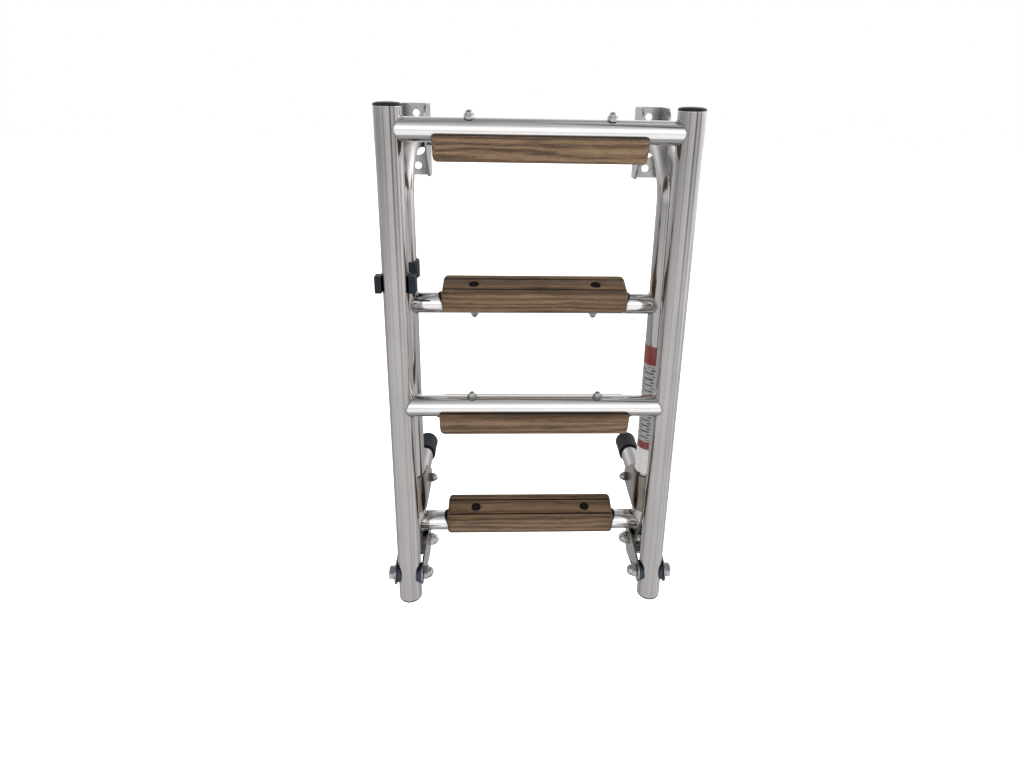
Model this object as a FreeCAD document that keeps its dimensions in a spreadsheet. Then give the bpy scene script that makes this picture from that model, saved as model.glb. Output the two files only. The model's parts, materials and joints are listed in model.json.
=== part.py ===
import FreeCAD, Part
import Sketcher
import math
import os

# Folding boat boarding ladder, drawn folded. Two stainless frames of four steps in all, joined by a pair
# of channel links, hang from two U-brackets.
# Axes: +X to the right along the rungs, +Y towards the hull, +Z up. The origin is the middle of the
# four mounting holes, on the mounting plane Y = 0, so the ladder lies on the -Y side.

doc = FreeCAD.newDocument("BoardingLadder")

# ---------------------------------------------------------------------------------------------
# Driving dimensions (millimetres and degrees)
# ---------------------------------------------------------------------------------------------
DIMENSIONS = [
    ("gauge", 270.0, "distance between the left and right rails' axes"),
    ("rail_diameter", 25.0, "outside diameter of the side rails"),
    ("rung_diameter", 22.0, "outside diameter of the rungs and standoff legs"),
    ("tube_wall", 1.5, "wall of every tube"),
    ("rail_offset", 122.0, "mounting plane to the upper rails' axes"),
    ("fold_pitch", 52.0, "distance between the two fold bolts of a link"),
    ("fold_drop", 460.0, "origin down to the fold bolts"),
    ("bend_radius", 60.0, "centreline radius of the bend at the top of an upper rail"),
    ("upper_stub", 12.5, "upper rail below its fold bolt"),
    ("lower_stub", 29.5, "lower rail below its fold bolt, ladder folded"),
    ("lower_top", 43.0, "origin up to the lower rails' ends, ladder folded"),
    ("rung_pitch", 274.0, "distance between the two rungs of one frame"),
    ("upper_rung_drop", 158.5, "origin down to the first rung"),
    ("lower_rung_rise", 23.0, "origin up to the fourth rung, ladder folded"),
    ("bracket_tall", 82.0, "bracket height"),
    ("bracket_width", 32.0, "bracket outside width"),
    ("bracket_reach", 42.0, "bracket ears, from the mounting plane"),
    ("bracket_sheet", 2.5, "bracket sheet thickness"),
    ("bracket_bolt_reach", 25.0, "mounting plane to the bracket bolt"),
    ("bracket_bolt_rise", 3.0, "origin up to the bracket bolt"),
    ("hole_pitch", 60.0, "distance between a bracket's two mounting holes"),
    ("hole_diameter", 8.5, "mounting hole diameter"),
    ("bolt_diameter", 8.0, "hinge bolt diameter"),
    ("bolt_across", 13.0, "hinge bolt head and nut, across flats"),
    ("bolt_head", 5.3, "hinge bolt head height"),
    ("nut_height", 11.0, "hinge acorn nut height"),
    ("fit", 0.05, "radial clearance of a bolt in the tube that turns on it"),
    ("washer_play", 0.25, "gap between a nylon washer and the part that turns beside it"),
    ("washer_diameter", 20.0, "nylon washer diameter"),
    ("steel_washer_thick", 1.5, "steel washer under a bolt head"),
    ("steel_washer_diameter", 16.0, "steel washer diameter"),
    ("link_sheet", 2.0, "link sheet thickness"),
    ("link_gap", 27.0, "inside width of a link and of a bracket"),
    ("link_web_rise", 12.8, "fold bolts up to the underside of the link's web"),
    ("link_rear_lobe", 14.5, "radius of a link's cheek around the rear bolt"),
    ("link_front_lobe", 12.0, "radius of a link's cheek around the front bolt"),
    ("link_low_lobe", 12.5, "radius of a link's lower rear corner"),
    ("link_low_drop", 9.5, "rear bolt down to the centre of that corner"),
    ("tread_length", 192.0, "teak tread length"),
    ("tread_depth", 38.0, "teak tread depth"),
    ("tread_thick", 23.0, "teak tread thickness"),
    ("tread_tilt", 16.0, "tilt of a tread about its rung"),
    ("tread_seat", 1.0, "rung axis up to the tread's underside"),
    ("tread_corner", 5.0, "corner radius of a tread seen from above"),
    ("tread_edge", 4.0, "rounded upper edges of a tread"),
    ("tread_under_edge", 2.0, "rounded lower edges of a tread"),
    ("groove_width", 1.8, "anti-slip groove width"),
    ("groove_deep", 2.0, "anti-slip groove depth"),
    ("groove_offset", 9.5, "tread centre line to a groove"),
    ("liner_thick", 1.0, "rubber liner between a rung and its tread"),
    ("liner_length", 198.0, "rubber liner length"),
    ("screw_pitch", 127.0, "distance between the two screws of a tread"),
    ("screw_diameter", 5.0, "tread screw diameter"),
    ("tread_nut_across", 8.0, "tread acorn nut, across flats"),
    ("tread_nut_height", 7.5, "tread acorn nut height"),
    ("leg_bolt_diameter", 6.0, "leg bolt diameter"),
    ("screw_head", 9.0, "tread screw head diameter"),
    ("screw_head_thick", 3.2, "tread screw head height"),
    ("screw_recess", 6.0, "counterbore depth"),
    ("screw_recess_diameter", 11.0, "counterbore diameter"),
    ("small_across", 10.0, "leg bolt head and nut, across flats"),
    ("small_nut_height", 8.5, "leg and stop screw acorn nut height"),
    ("cap_flange", 1.5, "thickness of a rail cap outside the tube"),
    ("cap_dome", 3.4, "height of the domed cap on top of a lower rail"),
    ("cap_plug", 8.0, "length of a cap's plug inside the tube"),
    ("leg_drop", 402.0, "origin down to the standoff legs' axes"),
    ("leg_bolt_reach", 82.0, "mounting plane to the leg bolts"),
    ("leg_stub", 22.0, "leg in front of its bolt"),
    ("leg_pad", 3.0, "rubber between a leg's end and the hull"),
    ("leg_cap_diameter", 27.0, "rubber leg cap diameter"),
    ("leg_cap_length", 32.0, "rubber leg cap length"),
    ("saddle_sheet", 1.5, "saddle strap thickness"),
    ("saddle_top", 36.0, "leg axis up to the saddle's top edge"),
    ("saddle_bottom", 11.0, "leg axis down to the saddle's bottom edge"),
    ("stop_screw_offset", 7.0, "stop screw to the left of its link's middle"),
    ("clip_drop", 121.0, "origin down to the middle of the retaining clip"),
    ("clip_tall", 17.0, "retaining clip height"),
    ("clip_wall", 3.0, "retaining clip wall"),
    ("clip_lip", 6.5, "thickness of the lips at the clip's mouth"),
    ("clip_lip_deep", 10.0, "front to back depth of those lips"),
    ("clip_play", 0.4, "gap between the clip's open jaw and the rail in it"),
    ("label_top", 204.5, "origin down to the label's top"),
    ("label_bottom", 362.0, "origin down to the label's bottom"),
    ("label_thick", 0.2, "label thickness"),
]

sheet = doc.addObject("Spreadsheet::Sheet", "Sizes")
for row, (alias, number, meaning) in enumerate(DIMENSIONS, start=1):
    sheet.set(f"A{row}", meaning)
    sheet.set(f"B{row}", str(number))
    sheet.setAlias(f"B{row}", alias)
doc.recompute()


class Size:
    """A value worked out from the sheet: its number, and the expression that keeps it live."""

    def __init__(self, number, text):
        self.number = number
        self.text = text

    def __add__(self, other):
        other = as_size(other)
        return Size(self.number + other.number, f"({self.text} + {other.text})")

    def __sub__(self, other):
        other = as_size(other)
        return Size(self.number - other.number, f"({self.text} - {other.text})")

    def __mul__(self, factor):
        return Size(self.number * factor, f"({self.text} * {factor})")

    def __truediv__(self, divisor):
        return Size(self.number / divisor, f"({self.text} / {divisor})")

    def __neg__(self):
        return Size(-self.number, f"(0 - {self.text})")


def as_size(value):
    if isinstance(value, Size):
        return value
    return Size(float(value), f"({float(value)})")


def cell(alias):
    return Size(float(sheet.get(alias)), f"Sizes.{alias}")


HALF_GAUGE = cell("gauge") / 2
RAIL_RADIUS = cell("rail_diameter") / 2
RUNG_RADIUS = cell("rung_diameter") / 2
RAIL_BORE = RAIL_RADIUS - cell("tube_wall")
RUNG_BORE = RUNG_RADIUS - cell("tube_wall")
UPPER_Y = -cell("rail_offset")
LOWER_Y = UPPER_Y - cell("fold_pitch")
FOLD_Z = -cell("fold_drop")
BRACKET_BOLT_Y = -cell("bracket_bolt_reach")
BRACKET_BOLT_Z = cell("bracket_bolt_rise")
LEG_BOLT_Y = -cell("leg_bolt_reach")
LEG_Z = -cell("leg_drop")
TREAD_TOP = cell("tread_seat") + cell("tread_thick")
UPPER_RUNGS = [-cell("upper_rung_drop"), -cell("upper_rung_drop") - cell("rung_pitch")]
LOWER_RUNGS = [cell("lower_rung_rise") - cell("rung_pitch"), cell("lower_rung_rise")]
SIDES = (("left", -1), ("right", 1))
X_AXIS = FreeCAD.Vector(1, 0, 0)
Y_AXIS = FreeCAD.Vector(0, 1, 0)
Z_AXIS = FreeCAD.Vector(0, 0, 1)

nodes = []


# ---------------------------------------------------------------------------------------------
# Helpers
# ---------------------------------------------------------------------------------------------
def bind(item, name, value):
    """Set one property from the sheet and keep it bound."""
    setattr(item, name, as_size(value).number)
    item.setExpression(name, as_size(value).text)


def place(item, x=0, y=0, z=0, axis=X_AXIS, angle=0.0):
    """Put an object at a bound position, turned by a fixed angle about one axis."""
    sizes = [as_size(value) for value in (x, y, z)]
    base = FreeCAD.Vector(*[value.number for value in sizes])
    item.Placement = FreeCAD.Placement(base, FreeCAD.Rotation(axis, angle))
    for letter, value in zip("xyz", sizes):
        item.setExpression(f"Placement.Base.{letter}", value.text)


def node(item, label):
    """Register a finished sub-part under its own name."""
    item.Label = label
    nodes.append(item)
    return item


def body(name):
    return doc.addObject("PartDesign::Body", name)


def sketch(owner, name, role, lift=0):
    """A sketch on one of the body's own origin planes, lifted along that plane's normal."""
    plane = next(f for f in owner.Origin.OriginFeatures if f.Role == role)
    item = owner.newObject("Sketcher::SketchObject", name)
    item.AttachmentSupport = [(plane, "")]
    item.MapMode = "FlatFace"
    item.AttachmentOffset = FreeCAD.Placement(FreeCAD.Vector(0, 0, as_size(lift).number), FreeCAD.Rotation())
    item.setExpression("AttachmentOffset.Base.z", as_size(lift).text)
    return item


def constrain(drawing, kind, elements, value):
    """Add one driving dimension that follows the sheet. Zero distances stay plain constraints."""
    index = drawing.addConstraint(Sketcher.Constraint(kind, *elements, as_size(value).number))
    drawing.setExpression(f"Constraints[{index}]", as_size(value).text)


def draw_circle(drawing, u, v, radius):
    """A circle whose centre and radius follow the sheet."""
    u, v, radius = as_size(u), as_size(v), as_size(radius)
    centre = FreeCAD.Vector(u.number, v.number, 0)
    index = drawing.addGeometry(Part.Circle(centre, FreeCAD.Vector(0, 0, 1), radius.number), False)
    constrain(drawing, "DistanceX", (-1, 1, index, 3), u)
    constrain(drawing, "DistanceY", (-1, 1, index, 3), v)
    constrain(drawing, "Radius", (index,), radius)


def draw_polygon(drawing, corners):
    """A closed outline whose corners follow the sheet."""
    points = [(as_size(u), as_size(v)) for u, v in corners]
    vectors = [FreeCAD.Vector(u.number, v.number, 0) for u, v in points]
    first = drawing.GeometryCount
    for start, end in zip(vectors, vectors[1:] + vectors[:1]):
        drawing.addGeometry(Part.LineSegment(start, end), False)
    for offset in range(len(points)):
        following = first + (offset + 1) % len(points)
        drawing.addConstraint(Sketcher.Constraint("Coincident", first + offset, 2, following, 1))
    for offset, (u, v) in enumerate(points):
        constrain(drawing, "DistanceX", (-1, 1, first + offset, 1), u)
        constrain(drawing, "DistanceY", (-1, 1, first + offset, 1), v)


def pad(owner, drawing, length, midplane=False, reverse=False):
    feature = owner.newObject("PartDesign::Pad", drawing.Name + "Pad")
    feature.Profile = drawing
    bind(feature, "Length", length)
    feature.Midplane = midplane
    feature.Reversed = reverse
    drawing.Visibility = False
    doc.recompute()
    return feature


def pocket(owner, drawing, length, midplane=False, reverse=False):
    """Cut a sketch into the body, and check that it removed material."""
    before = owner.Shape.Volume
    feature = owner.newObject("PartDesign::Pocket", drawing.Name + "Pocket")
    feature.Profile = drawing
    bind(feature, "Length", length)
    feature.Midplane = midplane
    feature.Reversed = reverse
    doc.recompute()
    if owner.Shape.Volume >= before - 1e-6:
        raise RuntimeError(f"{feature.Name} removed nothing")
    return feature


def fillet(owner, radius, chosen):
    """Round the edges that chosen(edge) picks from the body's tip."""
    tip = owner.Tip
    names = [f"Edge{i}" for i, edge in enumerate(tip.Shape.Edges, start=1) if chosen(edge)]
    if not names:
        raise RuntimeError(f"no edges to round on {owner.Name}")
    feature = owner.newObject("PartDesign::Fillet", owner.Name + f"Fillet{len(owner.Group)}")
    feature.Base = (tip, names)
    bind(feature, "Radius", radius)
    doc.recompute()
    return feature


def cylinder(name, radius, height, x=0, y=0, z=0, axis=X_AXIS, angle=0.0, sector=360):
    item = doc.addObject("Part::Cylinder", name)
    bind(item, "Radius", radius)
    bind(item, "Height", height)
    item.Angle = sector
    place(item, x, y, z, axis, angle)
    return item


def rod_along_x(name, radius, length, x, y, z):
    """A cylinder along +X that starts at x."""
    return cylinder(name, radius, length, x, y, z, Y_AXIS, 90.0)


def box(name, length, width, height, x, y, z):
    item = doc.addObject("Part::Box", name)
    bind(item, "Length", length)
    bind(item, "Width", width)
    bind(item, "Height", height)
    place(item, x, y, z)
    return item


def fuse(name, items):
    item = doc.addObject("Part::MultiFuse", name)
    item.Shapes = items
    return item


def cut(name, base, tools):
    item = doc.addObject("Part::Cut", name)
    item.Base = base
    item.Tool = tools[0] if len(tools) == 1 else fuse(name + "Tools", tools)
    return item


def compound(label, items):
    item = doc.addObject("Part::Compound", label.title().replace("_", ""))
    item.Links = items
    return node(item, label)


def acorn_nut(name, across, height, bore, x, y, z, axis, angle):
    """Domed nut whose flat face is at the given place and whose dome points along the turned +Z."""
    flats = doc.addObject("Part::Prism", name + "Hex")
    flats.Polygon = 6
    bind(flats, "Circumradius", across / 2 / math.cos(math.radians(30)))
    bind(flats, "Height", height * 0.55)
    dome = doc.addObject("Part::Sphere", name + "Dome")
    bind(dome, "Radius", across * 0.41)
    dome.setExpression("Placement.Base.z", (height - across * 0.41).text)
    thread = doc.addObject("Part::Cylinder", name + "Thread")
    bind(thread, "Radius", bore)
    bind(thread, "Height", height * 0.8)
    thread.setExpression("Placement.Base.z", (-height * 0.25).text)
    nut = cut(name, fuse(name + "Solid", [flats, dome]), [thread])
    place(nut, x, y, z, axis, angle)
    return nut


# ---------------------------------------------------------------------------------------------
# Mounting brackets: folded U-channels with two mounting holes and a long opening
# ---------------------------------------------------------------------------------------------
def make_bracket(side, sign):
    item = body(f"Bracket{side.title()}")
    half = cell("bracket_tall") / 2
    reach = -cell("bracket_reach")

    outline = sketch(item, f"Bracket{side.title()}Outline", "YZ_Plane")
    draw_polygon(outline, [
        (0, -half),
        (reach * 0.45, -half),
        (reach, -half * 0.35),
        (reach, half),
        (0, half),
    ])
    pad(item, outline, cell("bracket_width"), midplane=True)

    def top_front_corner(edge):
        along_x = abs(edge.Vertexes[0].X - edge.Vertexes[-1].X) > 30
        at_front = abs(edge.CenterOfMass.y - reach.number) < 0.01
        return along_x and at_front and edge.CenterOfMass.z > 0

    fillet(item, cell("bracket_reach") / 3, top_front_corner)

    def lower_corners(edge):
        along_x = abs(edge.Vertexes[0].X - edge.Vertexes[-1].X) > 30
        return along_x and edge.CenterOfMass.y < -1 and edge.CenterOfMass.z < 0

    fillet(item, cell("bracket_reach") / 7, lower_corners)

    inside = sketch(item, f"Bracket{side.title()}Inside", "YZ_Plane")
    draw_polygon(inside, [
        (-cell("bracket_sheet"), -half - 1),
        (reach - 1, -half - 1),
        (reach - 1, half + 1),
        (-cell("bracket_sheet"), half + 1),
    ])
    pocket(item, inside, cell("link_gap"), midplane=True)

    openings = sketch(item, f"Bracket{side.title()}Openings", "XZ_Plane")
    for z in (cell("hole_pitch") / 2, -cell("hole_pitch") / 2):
        draw_circle(openings, 0, z, cell("hole_diameter") / 2)
    pocket(item, openings, cell("bracket_sheet") * 2, midplane=True)

    window = sketch(item, f"Bracket{side.title()}Window", "XZ_Plane")
    draw_polygon(window, [
        (-cell("link_gap") / 3, -cell("hole_pitch") / 3.4),
        (cell("link_gap") / 3, -cell("hole_pitch") / 3.4),
        (cell("link_gap") / 3, cell("hole_pitch") / 3.4),
        (-cell("link_gap") / 3, cell("hole_pitch") / 3.4),
    ])
    pocket(item, window, cell("bracket_sheet") * 2, midplane=True)

    def window_corner(edge):
        centre = edge.CenterOfMass
        along_y = abs(edge.Length - cell("bracket_sheet").number) < 0.01
        near = abs(abs(centre.x) - cell("link_gap").number / 3) < 0.01
        return along_y and near and abs(centre.z) < cell("hole_pitch").number / 3

    fillet(item, cell("link_gap") / 3.2, window_corner)

    bore = sketch(item, f"Bracket{side.title()}Bore", "YZ_Plane")
    draw_circle(bore, BRACKET_BOLT_Y, BRACKET_BOLT_Z, cell("bolt_diameter") / 2)
    pocket(item, bore, cell("bracket_width") + 2, midplane=True)
    place(item, HALF_GAUGE * sign, 0, 0)
    return node(item, f"bracket_{side}")


# ---------------------------------------------------------------------------------------------
# Rails
# ---------------------------------------------------------------------------------------------
def drill_rail(item, name, y, z):
    bore = sketch(item, name, "YZ_Plane")
    draw_circle(bore, y, z, cell("bolt_diameter") / 2 + cell("fit"))
    pocket(item, bore, cell("rail_diameter") + 4, midplane=True)


def make_upper_rail(side, sign):
    """A tube that rises from its fold bolt and bends back to its bracket bolt."""
    item = body(f"UpperRail{side.title()}")
    bend = cell("bend_radius")
    bend_y = UPPER_Y + bend
    bend_z = BRACKET_BOLT_Z - bend
    bottom_z = FOLD_Z - cell("upper_stub")
    end_y = BRACKET_BOLT_Y + RAIL_RADIUS

    route = sketch(item, f"UpperRail{side.title()}Route", "YZ_Plane")
    points = [
        FreeCAD.Vector(UPPER_Y.number, bottom_z.number, 0),
        FreeCAD.Vector(UPPER_Y.number, bend_z.number, 0),
        FreeCAD.Vector(bend_y.number, BRACKET_BOLT_Z.number, 0),
        FreeCAD.Vector(end_y.number, BRACKET_BOLT_Z.number, 0),
    ]
    centre = FreeCAD.Vector(bend_y.number, bend_z.number, 0)
    route.addGeometry(Part.LineSegment(points[0], points[1]), False)
    circle = Part.Circle(centre, FreeCAD.Vector(0, 0, 1), bend.number)
    route.addGeometry(Part.ArcOfCircle(circle, math.radians(90), math.radians(180)), False)
    route.addGeometry(Part.LineSegment(points[2], points[3]), False)
    route.addConstraint(Sketcher.Constraint("Tangent", 0, 2, 1, 2))
    route.addConstraint(Sketcher.Constraint("Tangent", 1, 1, 2, 1))
    route.addConstraint(Sketcher.Constraint("Vertical", 0))
    route.addConstraint(Sketcher.Constraint("Horizontal", 2))
    constrain(route, "Radius", (1,), bend)
    constrain(route, "DistanceX", (-1, 1, 0, 1), UPPER_Y)
    constrain(route, "DistanceY", (-1, 1, 0, 1), bottom_z)
    constrain(route, "DistanceX", (-1, 1, 2, 2), end_y)
    constrain(route, "DistanceY", (-1, 1, 2, 2), BRACKET_BOLT_Z)

    section = sketch(item, f"UpperRail{side.title()}Section", "XY_Plane", bottom_z)
    draw_circle(section, 0, UPPER_Y, RAIL_RADIUS)
    draw_circle(section, 0, UPPER_Y, RAIL_BORE)
    doc.recompute()
    pipe = item.newObject("PartDesign::AdditivePipe", f"UpperRail{side.title()}Pipe")
    pipe.Profile = section
    pipe.Spine = route
    doc.recompute()

    drill_rail(item, f"UpperRail{side.title()}FoldBore", UPPER_Y, FOLD_Z)
    drill_rail(item, f"UpperRail{side.title()}BracketBore", BRACKET_BOLT_Y, BRACKET_BOLT_Z)
    place(item, HALF_GAUGE * sign, 0, 0)
    return node(item, f"upper_rail_{side}")


def make_lower_rail(side, sign):
    """A straight tube, drilled for its fold bolt."""
    item = body(f"LowerRail{side.title()}")
    bottom_z = FOLD_Z - cell("lower_stub")
    section = sketch(item, f"LowerRail{side.title()}Section", "XY_Plane", bottom_z)
    draw_circle(section, 0, LOWER_Y, RAIL_RADIUS)
    draw_circle(section, 0, LOWER_Y, RAIL_BORE)
    pad(item, section, cell("lower_top") - bottom_z)
    drill_rail(item, f"LowerRail{side.title()}FoldBore", LOWER_Y, FOLD_Z)
    place(item, HALF_GAUGE * sign, 0, 0)
    return node(item, f"lower_rail_{side}")


def make_rail_cap(label, x, y, z, flange, dome, upwards):
    """Plastic cap: a plug inside the tube, a thin flange and, on some, a low dome."""
    item = body(label.title().replace("_", ""))
    plug = sketch(item, item.Name + "Plug", "XY_Plane")
    draw_circle(plug, 0, 0, RAIL_BORE)
    draw_circle(plug, 0, 0, RAIL_BORE - 2)
    pad(item, plug, cell("cap_plug"), reverse=True)
    disc = sketch(item, item.Name + "Flange", "XY_Plane")
    draw_circle(disc, 0, 0, RAIL_RADIUS)
    pad(item, disc, flange + dome)

    def top_rim(edge):
        return abs(edge.CenterOfMass.z - (flange + dome).number) < 0.01 and edge.Length > 60

    fillet(item, (flange + dome) * 0.9, top_rim)
    place(item, x, y, z, X_AXIS, 0.0 if upwards else 180.0)
    return node(item, label)


# ---------------------------------------------------------------------------------------------
# Rungs, treads, liners and their screws
# ---------------------------------------------------------------------------------------------
def tread_frame(flipped):
    """Turn of a tread about its rung: on the folded lower frame the treads hang upside down."""
    tilt = cell("tread_tilt").number
    return tilt + 180.0 if flipped else tilt


def from_rung(flipped, distance):
    """Offsets in Y and Z of a point at a distance from the rung's axis, along the tread's normal."""
    angle = math.radians(tread_frame(flipped))
    return as_size(distance) * -math.sin(angle), as_size(distance) * math.cos(angle)


def make_rung(label, y, z, flipped):
    """A tube coped to fit between the rails, drilled for the tread's two screws."""
    name = label.title().replace("_", "")
    outside = rod_along_x(name + "Outside", RUNG_RADIUS, cell("gauge"), -HALF_GAUGE, y, z)
    inside = rod_along_x(name + "Inside", RUNG_BORE, cell("gauge"), -HALF_GAUGE, y, z)
    tools = [inside]
    for side, sign in SIDES:
        cope = cylinder(name + "Cope" + side, RAIL_RADIUS, cell("rung_diameter") * 2,
                        HALF_GAUGE * sign, y, z - cell("rung_diameter"))
        tools.append(cope)
        back, drop = from_rung(flipped, -cell("rung_diameter"))
        drill = cylinder(name + "Drill" + side, cell("screw_diameter") / 2, cell("rung_diameter") * 2,
                         cell("screw_pitch") * (sign / 2), y + back, z + drop, X_AXIS, tread_frame(flipped))
        tools.append(drill)
    return node(cut(name, outside, tools), label)


def make_tread(label, y, z, flipped):
    """Teak board, hollowed underneath to sit half over its rung, with grooves and two screw holes."""
    item = body(label.title().replace("_", ""))
    half_depth = cell("tread_depth") / 2
    board = sketch(item, item.Name + "Board", "XY_Plane", cell("tread_seat"))
    half_length = cell("tread_length") / 2
    draw_polygon(board, [
        (-half_length, -half_depth),
        (half_length, -half_depth),
        (half_length, half_depth),
        (-half_length, half_depth),
    ])
    pad(item, board, cell("tread_thick"))

    def upright(edge):
        return abs(edge.Vertexes[0].Z - edge.Vertexes[-1].Z) > 5

    fillet(item, cell("tread_corner"), upright)

    def rim_at(height):
        return lambda edge: all(abs(corner.Z - height.number) < 0.01 for corner in edge.Vertexes)

    fillet(item, cell("tread_edge"), rim_at(TREAD_TOP))
    fillet(item, cell("tread_under_edge"), rim_at(cell("tread_seat")))

    seat = sketch(item, item.Name + "Seat", "YZ_Plane")
    draw_circle(seat, 0, 0, RUNG_RADIUS + cell("liner_thick"))
    pocket(item, seat, cell("tread_length") + 2, midplane=True)

    grooves = sketch(item, item.Name + "Grooves", "YZ_Plane")
    for sign in (-1, 1):
        near = cell("groove_offset") * sign - cell("groove_width") / 2
        far = cell("groove_offset") * sign + cell("groove_width") / 2
        low = TREAD_TOP - cell("groove_deep")
        draw_polygon(grooves, [(near, low), (far, low), (far, TREAD_TOP + 1), (near, TREAD_TOP + 1)])
    pocket(item, grooves, cell("tread_length") + 2, midplane=True)

    recess = sketch(item, item.Name + "Recess", "XY_Plane", TREAD_TOP)
    for sign in (-1, 1):
        draw_circle(recess, cell("screw_pitch") * (sign / 2), 0, cell("screw_recess_diameter") / 2)
    pocket(item, recess, cell("screw_recess"))
    drill = sketch(item, item.Name + "Drill", "XY_Plane", TREAD_TOP)
    for sign in (-1, 1):
        draw_circle(drill, cell("screw_pitch") * (sign / 2), 0, cell("screw_diameter") / 2)
    pocket(item, drill, cell("tread_thick"))
    place(item, 0, y, z, X_AXIS, tread_frame(flipped))
    return node(item, label)


def make_liner(name, y, z, flipped):
    """Half-round rubber strip over the rung, under the tread."""
    outer_radius = RUNG_RADIUS + cell("liner_thick")
    half = cell("liner_length") / 2
    outer = rod_along_x(name + "Outer", outer_radius, cell("liner_length"), -half, 0, 0)
    inner = rod_along_x(name + "Inner", RUNG_RADIUS, cell("liner_length"), -half, 0, 0)
    below = box(name + "Below", cell("liner_length"), outer_radius * 2, outer_radius * 2, -half, -outer_radius,
                cell("tread_seat") - outer_radius * 2)
    tools = [inner, below]
    for side, sign in SIDES:
        tools.append(cylinder(name + "Drill" + side, cell("screw_diameter") / 2, TREAD_TOP,
                              cell("screw_pitch") * (sign / 2), 0, 0))
    liner = cut(name, outer, tools)
    place(liner, 0, y, z, X_AXIS, tread_frame(flipped))
    return liner


def make_tread_screw(name, x, y, z, flipped):
    """Pan-head screw whose head sits in the tread's recess and whose end is inside the acorn nut."""
    head_z = TREAD_TOP - cell("screw_recess")
    end_z = -RUNG_RADIUS - cell("tread_nut_height") / 2
    shank = cylinder(name + "Shank", cell("screw_diameter") / 2, head_z - end_z, 0, 0, end_z)
    head = cylinder(name + "Head", cell("screw_head") / 2, cell("screw_head_thick"), 0, 0, head_z)
    slot = box(name + "Slot", cell("screw_head") + 2, 1.2, 2, -(cell("screw_head") / 2) - 1, -0.6,
               head_z + cell("screw_head_thick") - 1.2)
    screw = cut(name, fuse(name + "Solid", [shank, head]), [slot])
    place(screw, x, y, z, X_AXIS, tread_frame(flipped))
    return screw


def make_steps(frame, y, heights, first_number, flipped):
    """The two steps of one frame: rungs and treads as nodes, liners, screws and nuts as groups."""
    liners = []
    screws = []
    nuts = []
    for number, z in enumerate(heights, start=first_number):
        make_rung(f"{frame}_rung_{number}", y, z, flipped)
        make_tread(f"{frame}_tread_{number}", y, z, flipped)
        liners.append(make_liner(f"{frame.title()}Liner{number}", y, z, flipped))
        for side, sign in SIDES:
            x = cell("screw_pitch") * (sign / 2)
            screws.append(make_tread_screw(f"{frame.title()}Screw{number}{side}", x, y, z, flipped))
            back, drop = from_rung(flipped, -RUNG_RADIUS)
            nuts.append(acorn_nut(f"{frame.title()}Nut{number}{side}", cell("tread_nut_across"),
                                  cell("tread_nut_height"), cell("screw_diameter") / 2,
                                  x, y + back, z + drop, X_AXIS, tread_frame(flipped) + 180.0))
    compound(f"{frame}_tread_liners", liners)
    compound(f"{frame}_tread_screws", screws)
    compound(f"{frame}_tread_nuts", nuts)


# ---------------------------------------------------------------------------------------------
# Fold links: channels with a web on top, between the rails
# ---------------------------------------------------------------------------------------------
def make_link(side, sign):
    item = body(f"Link{side.title()}")
    pitch = cell("fold_pitch")
    sheet_thick = cell("link_sheet")
    top = cell("link_web_rise") + sheet_thick
    outside_width = cell("link_gap") + sheet_thick * 2
    front_end = -pitch - cell("link_front_lobe")

    outline = sketch(item, f"Link{side.title()}Outline", "YZ_Plane")
    draw_polygon(outline, [
        (0, -cell("link_low_drop") - cell("link_low_lobe") + 0.1),
        (-pitch, -cell("link_front_lobe") + 0.1),
        (-pitch, cell("link_front_lobe") - 0.1),
        (-pitch + RAIL_RADIUS, top),
        (-RAIL_RADIUS, top),
        (0, cell("link_rear_lobe") - 0.1),
    ])
    pad(item, outline, outside_width, midplane=True)
    for name, y, z, radius in (("Rear", 0, 0, cell("link_rear_lobe")), ("Front", -pitch, 0, cell("link_front_lobe")),
                               ("Low", 0, -cell("link_low_drop"), cell("link_low_lobe"))):
        lobe = sketch(item, f"Link{side.title()}{name}Lobe", "YZ_Plane")
        draw_circle(lobe, y, z, radius)
        pad(item, lobe, outside_width, midplane=True)

    waist = sketch(item, f"Link{side.title()}Waist", "YZ_Plane")
    draw_circle(waist, -pitch * 0.62, -cell("link_front_lobe") * 1.45, cell("link_front_lobe") * 0.7)
    pocket(item, waist, outside_width + 2, midplane=True)

    web_rear = -RAIL_RADIUS - 0.8
    web_front = -pitch + RAIL_RADIUS + 0.8
    deep = -cell("link_low_drop") - cell("link_low_lobe") - 1
    inside = sketch(item, f"Link{side.title()}Inside", "YZ_Plane")
    draw_polygon(inside, [
        (cell("link_rear_lobe") + 1, deep),
        (cell("link_rear_lobe") + 1, top + 1),
        (web_rear, top + 1),
        (web_rear, cell("link_web_rise")),
        (web_front, cell("link_web_rise")),
        (web_front, top + 1),
        (front_end - 1, top + 1),
        (front_end - 1, deep),
    ])
    pocket(item, inside, cell("link_gap"), midplane=True)

    bores = sketch(item, f"Link{side.title()}Bores", "YZ_Plane")
    draw_circle(bores, 0, 0, cell("bolt_diameter") / 2)
    draw_circle(bores, -pitch, 0, cell("bolt_diameter") / 2)
    pocket(item, bores, outside_width + 2, midplane=True)
    place(item, HALF_GAUGE * sign, UPPER_Y, FOLD_Z)
    return node(item, f"fold_link_{side}")


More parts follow.
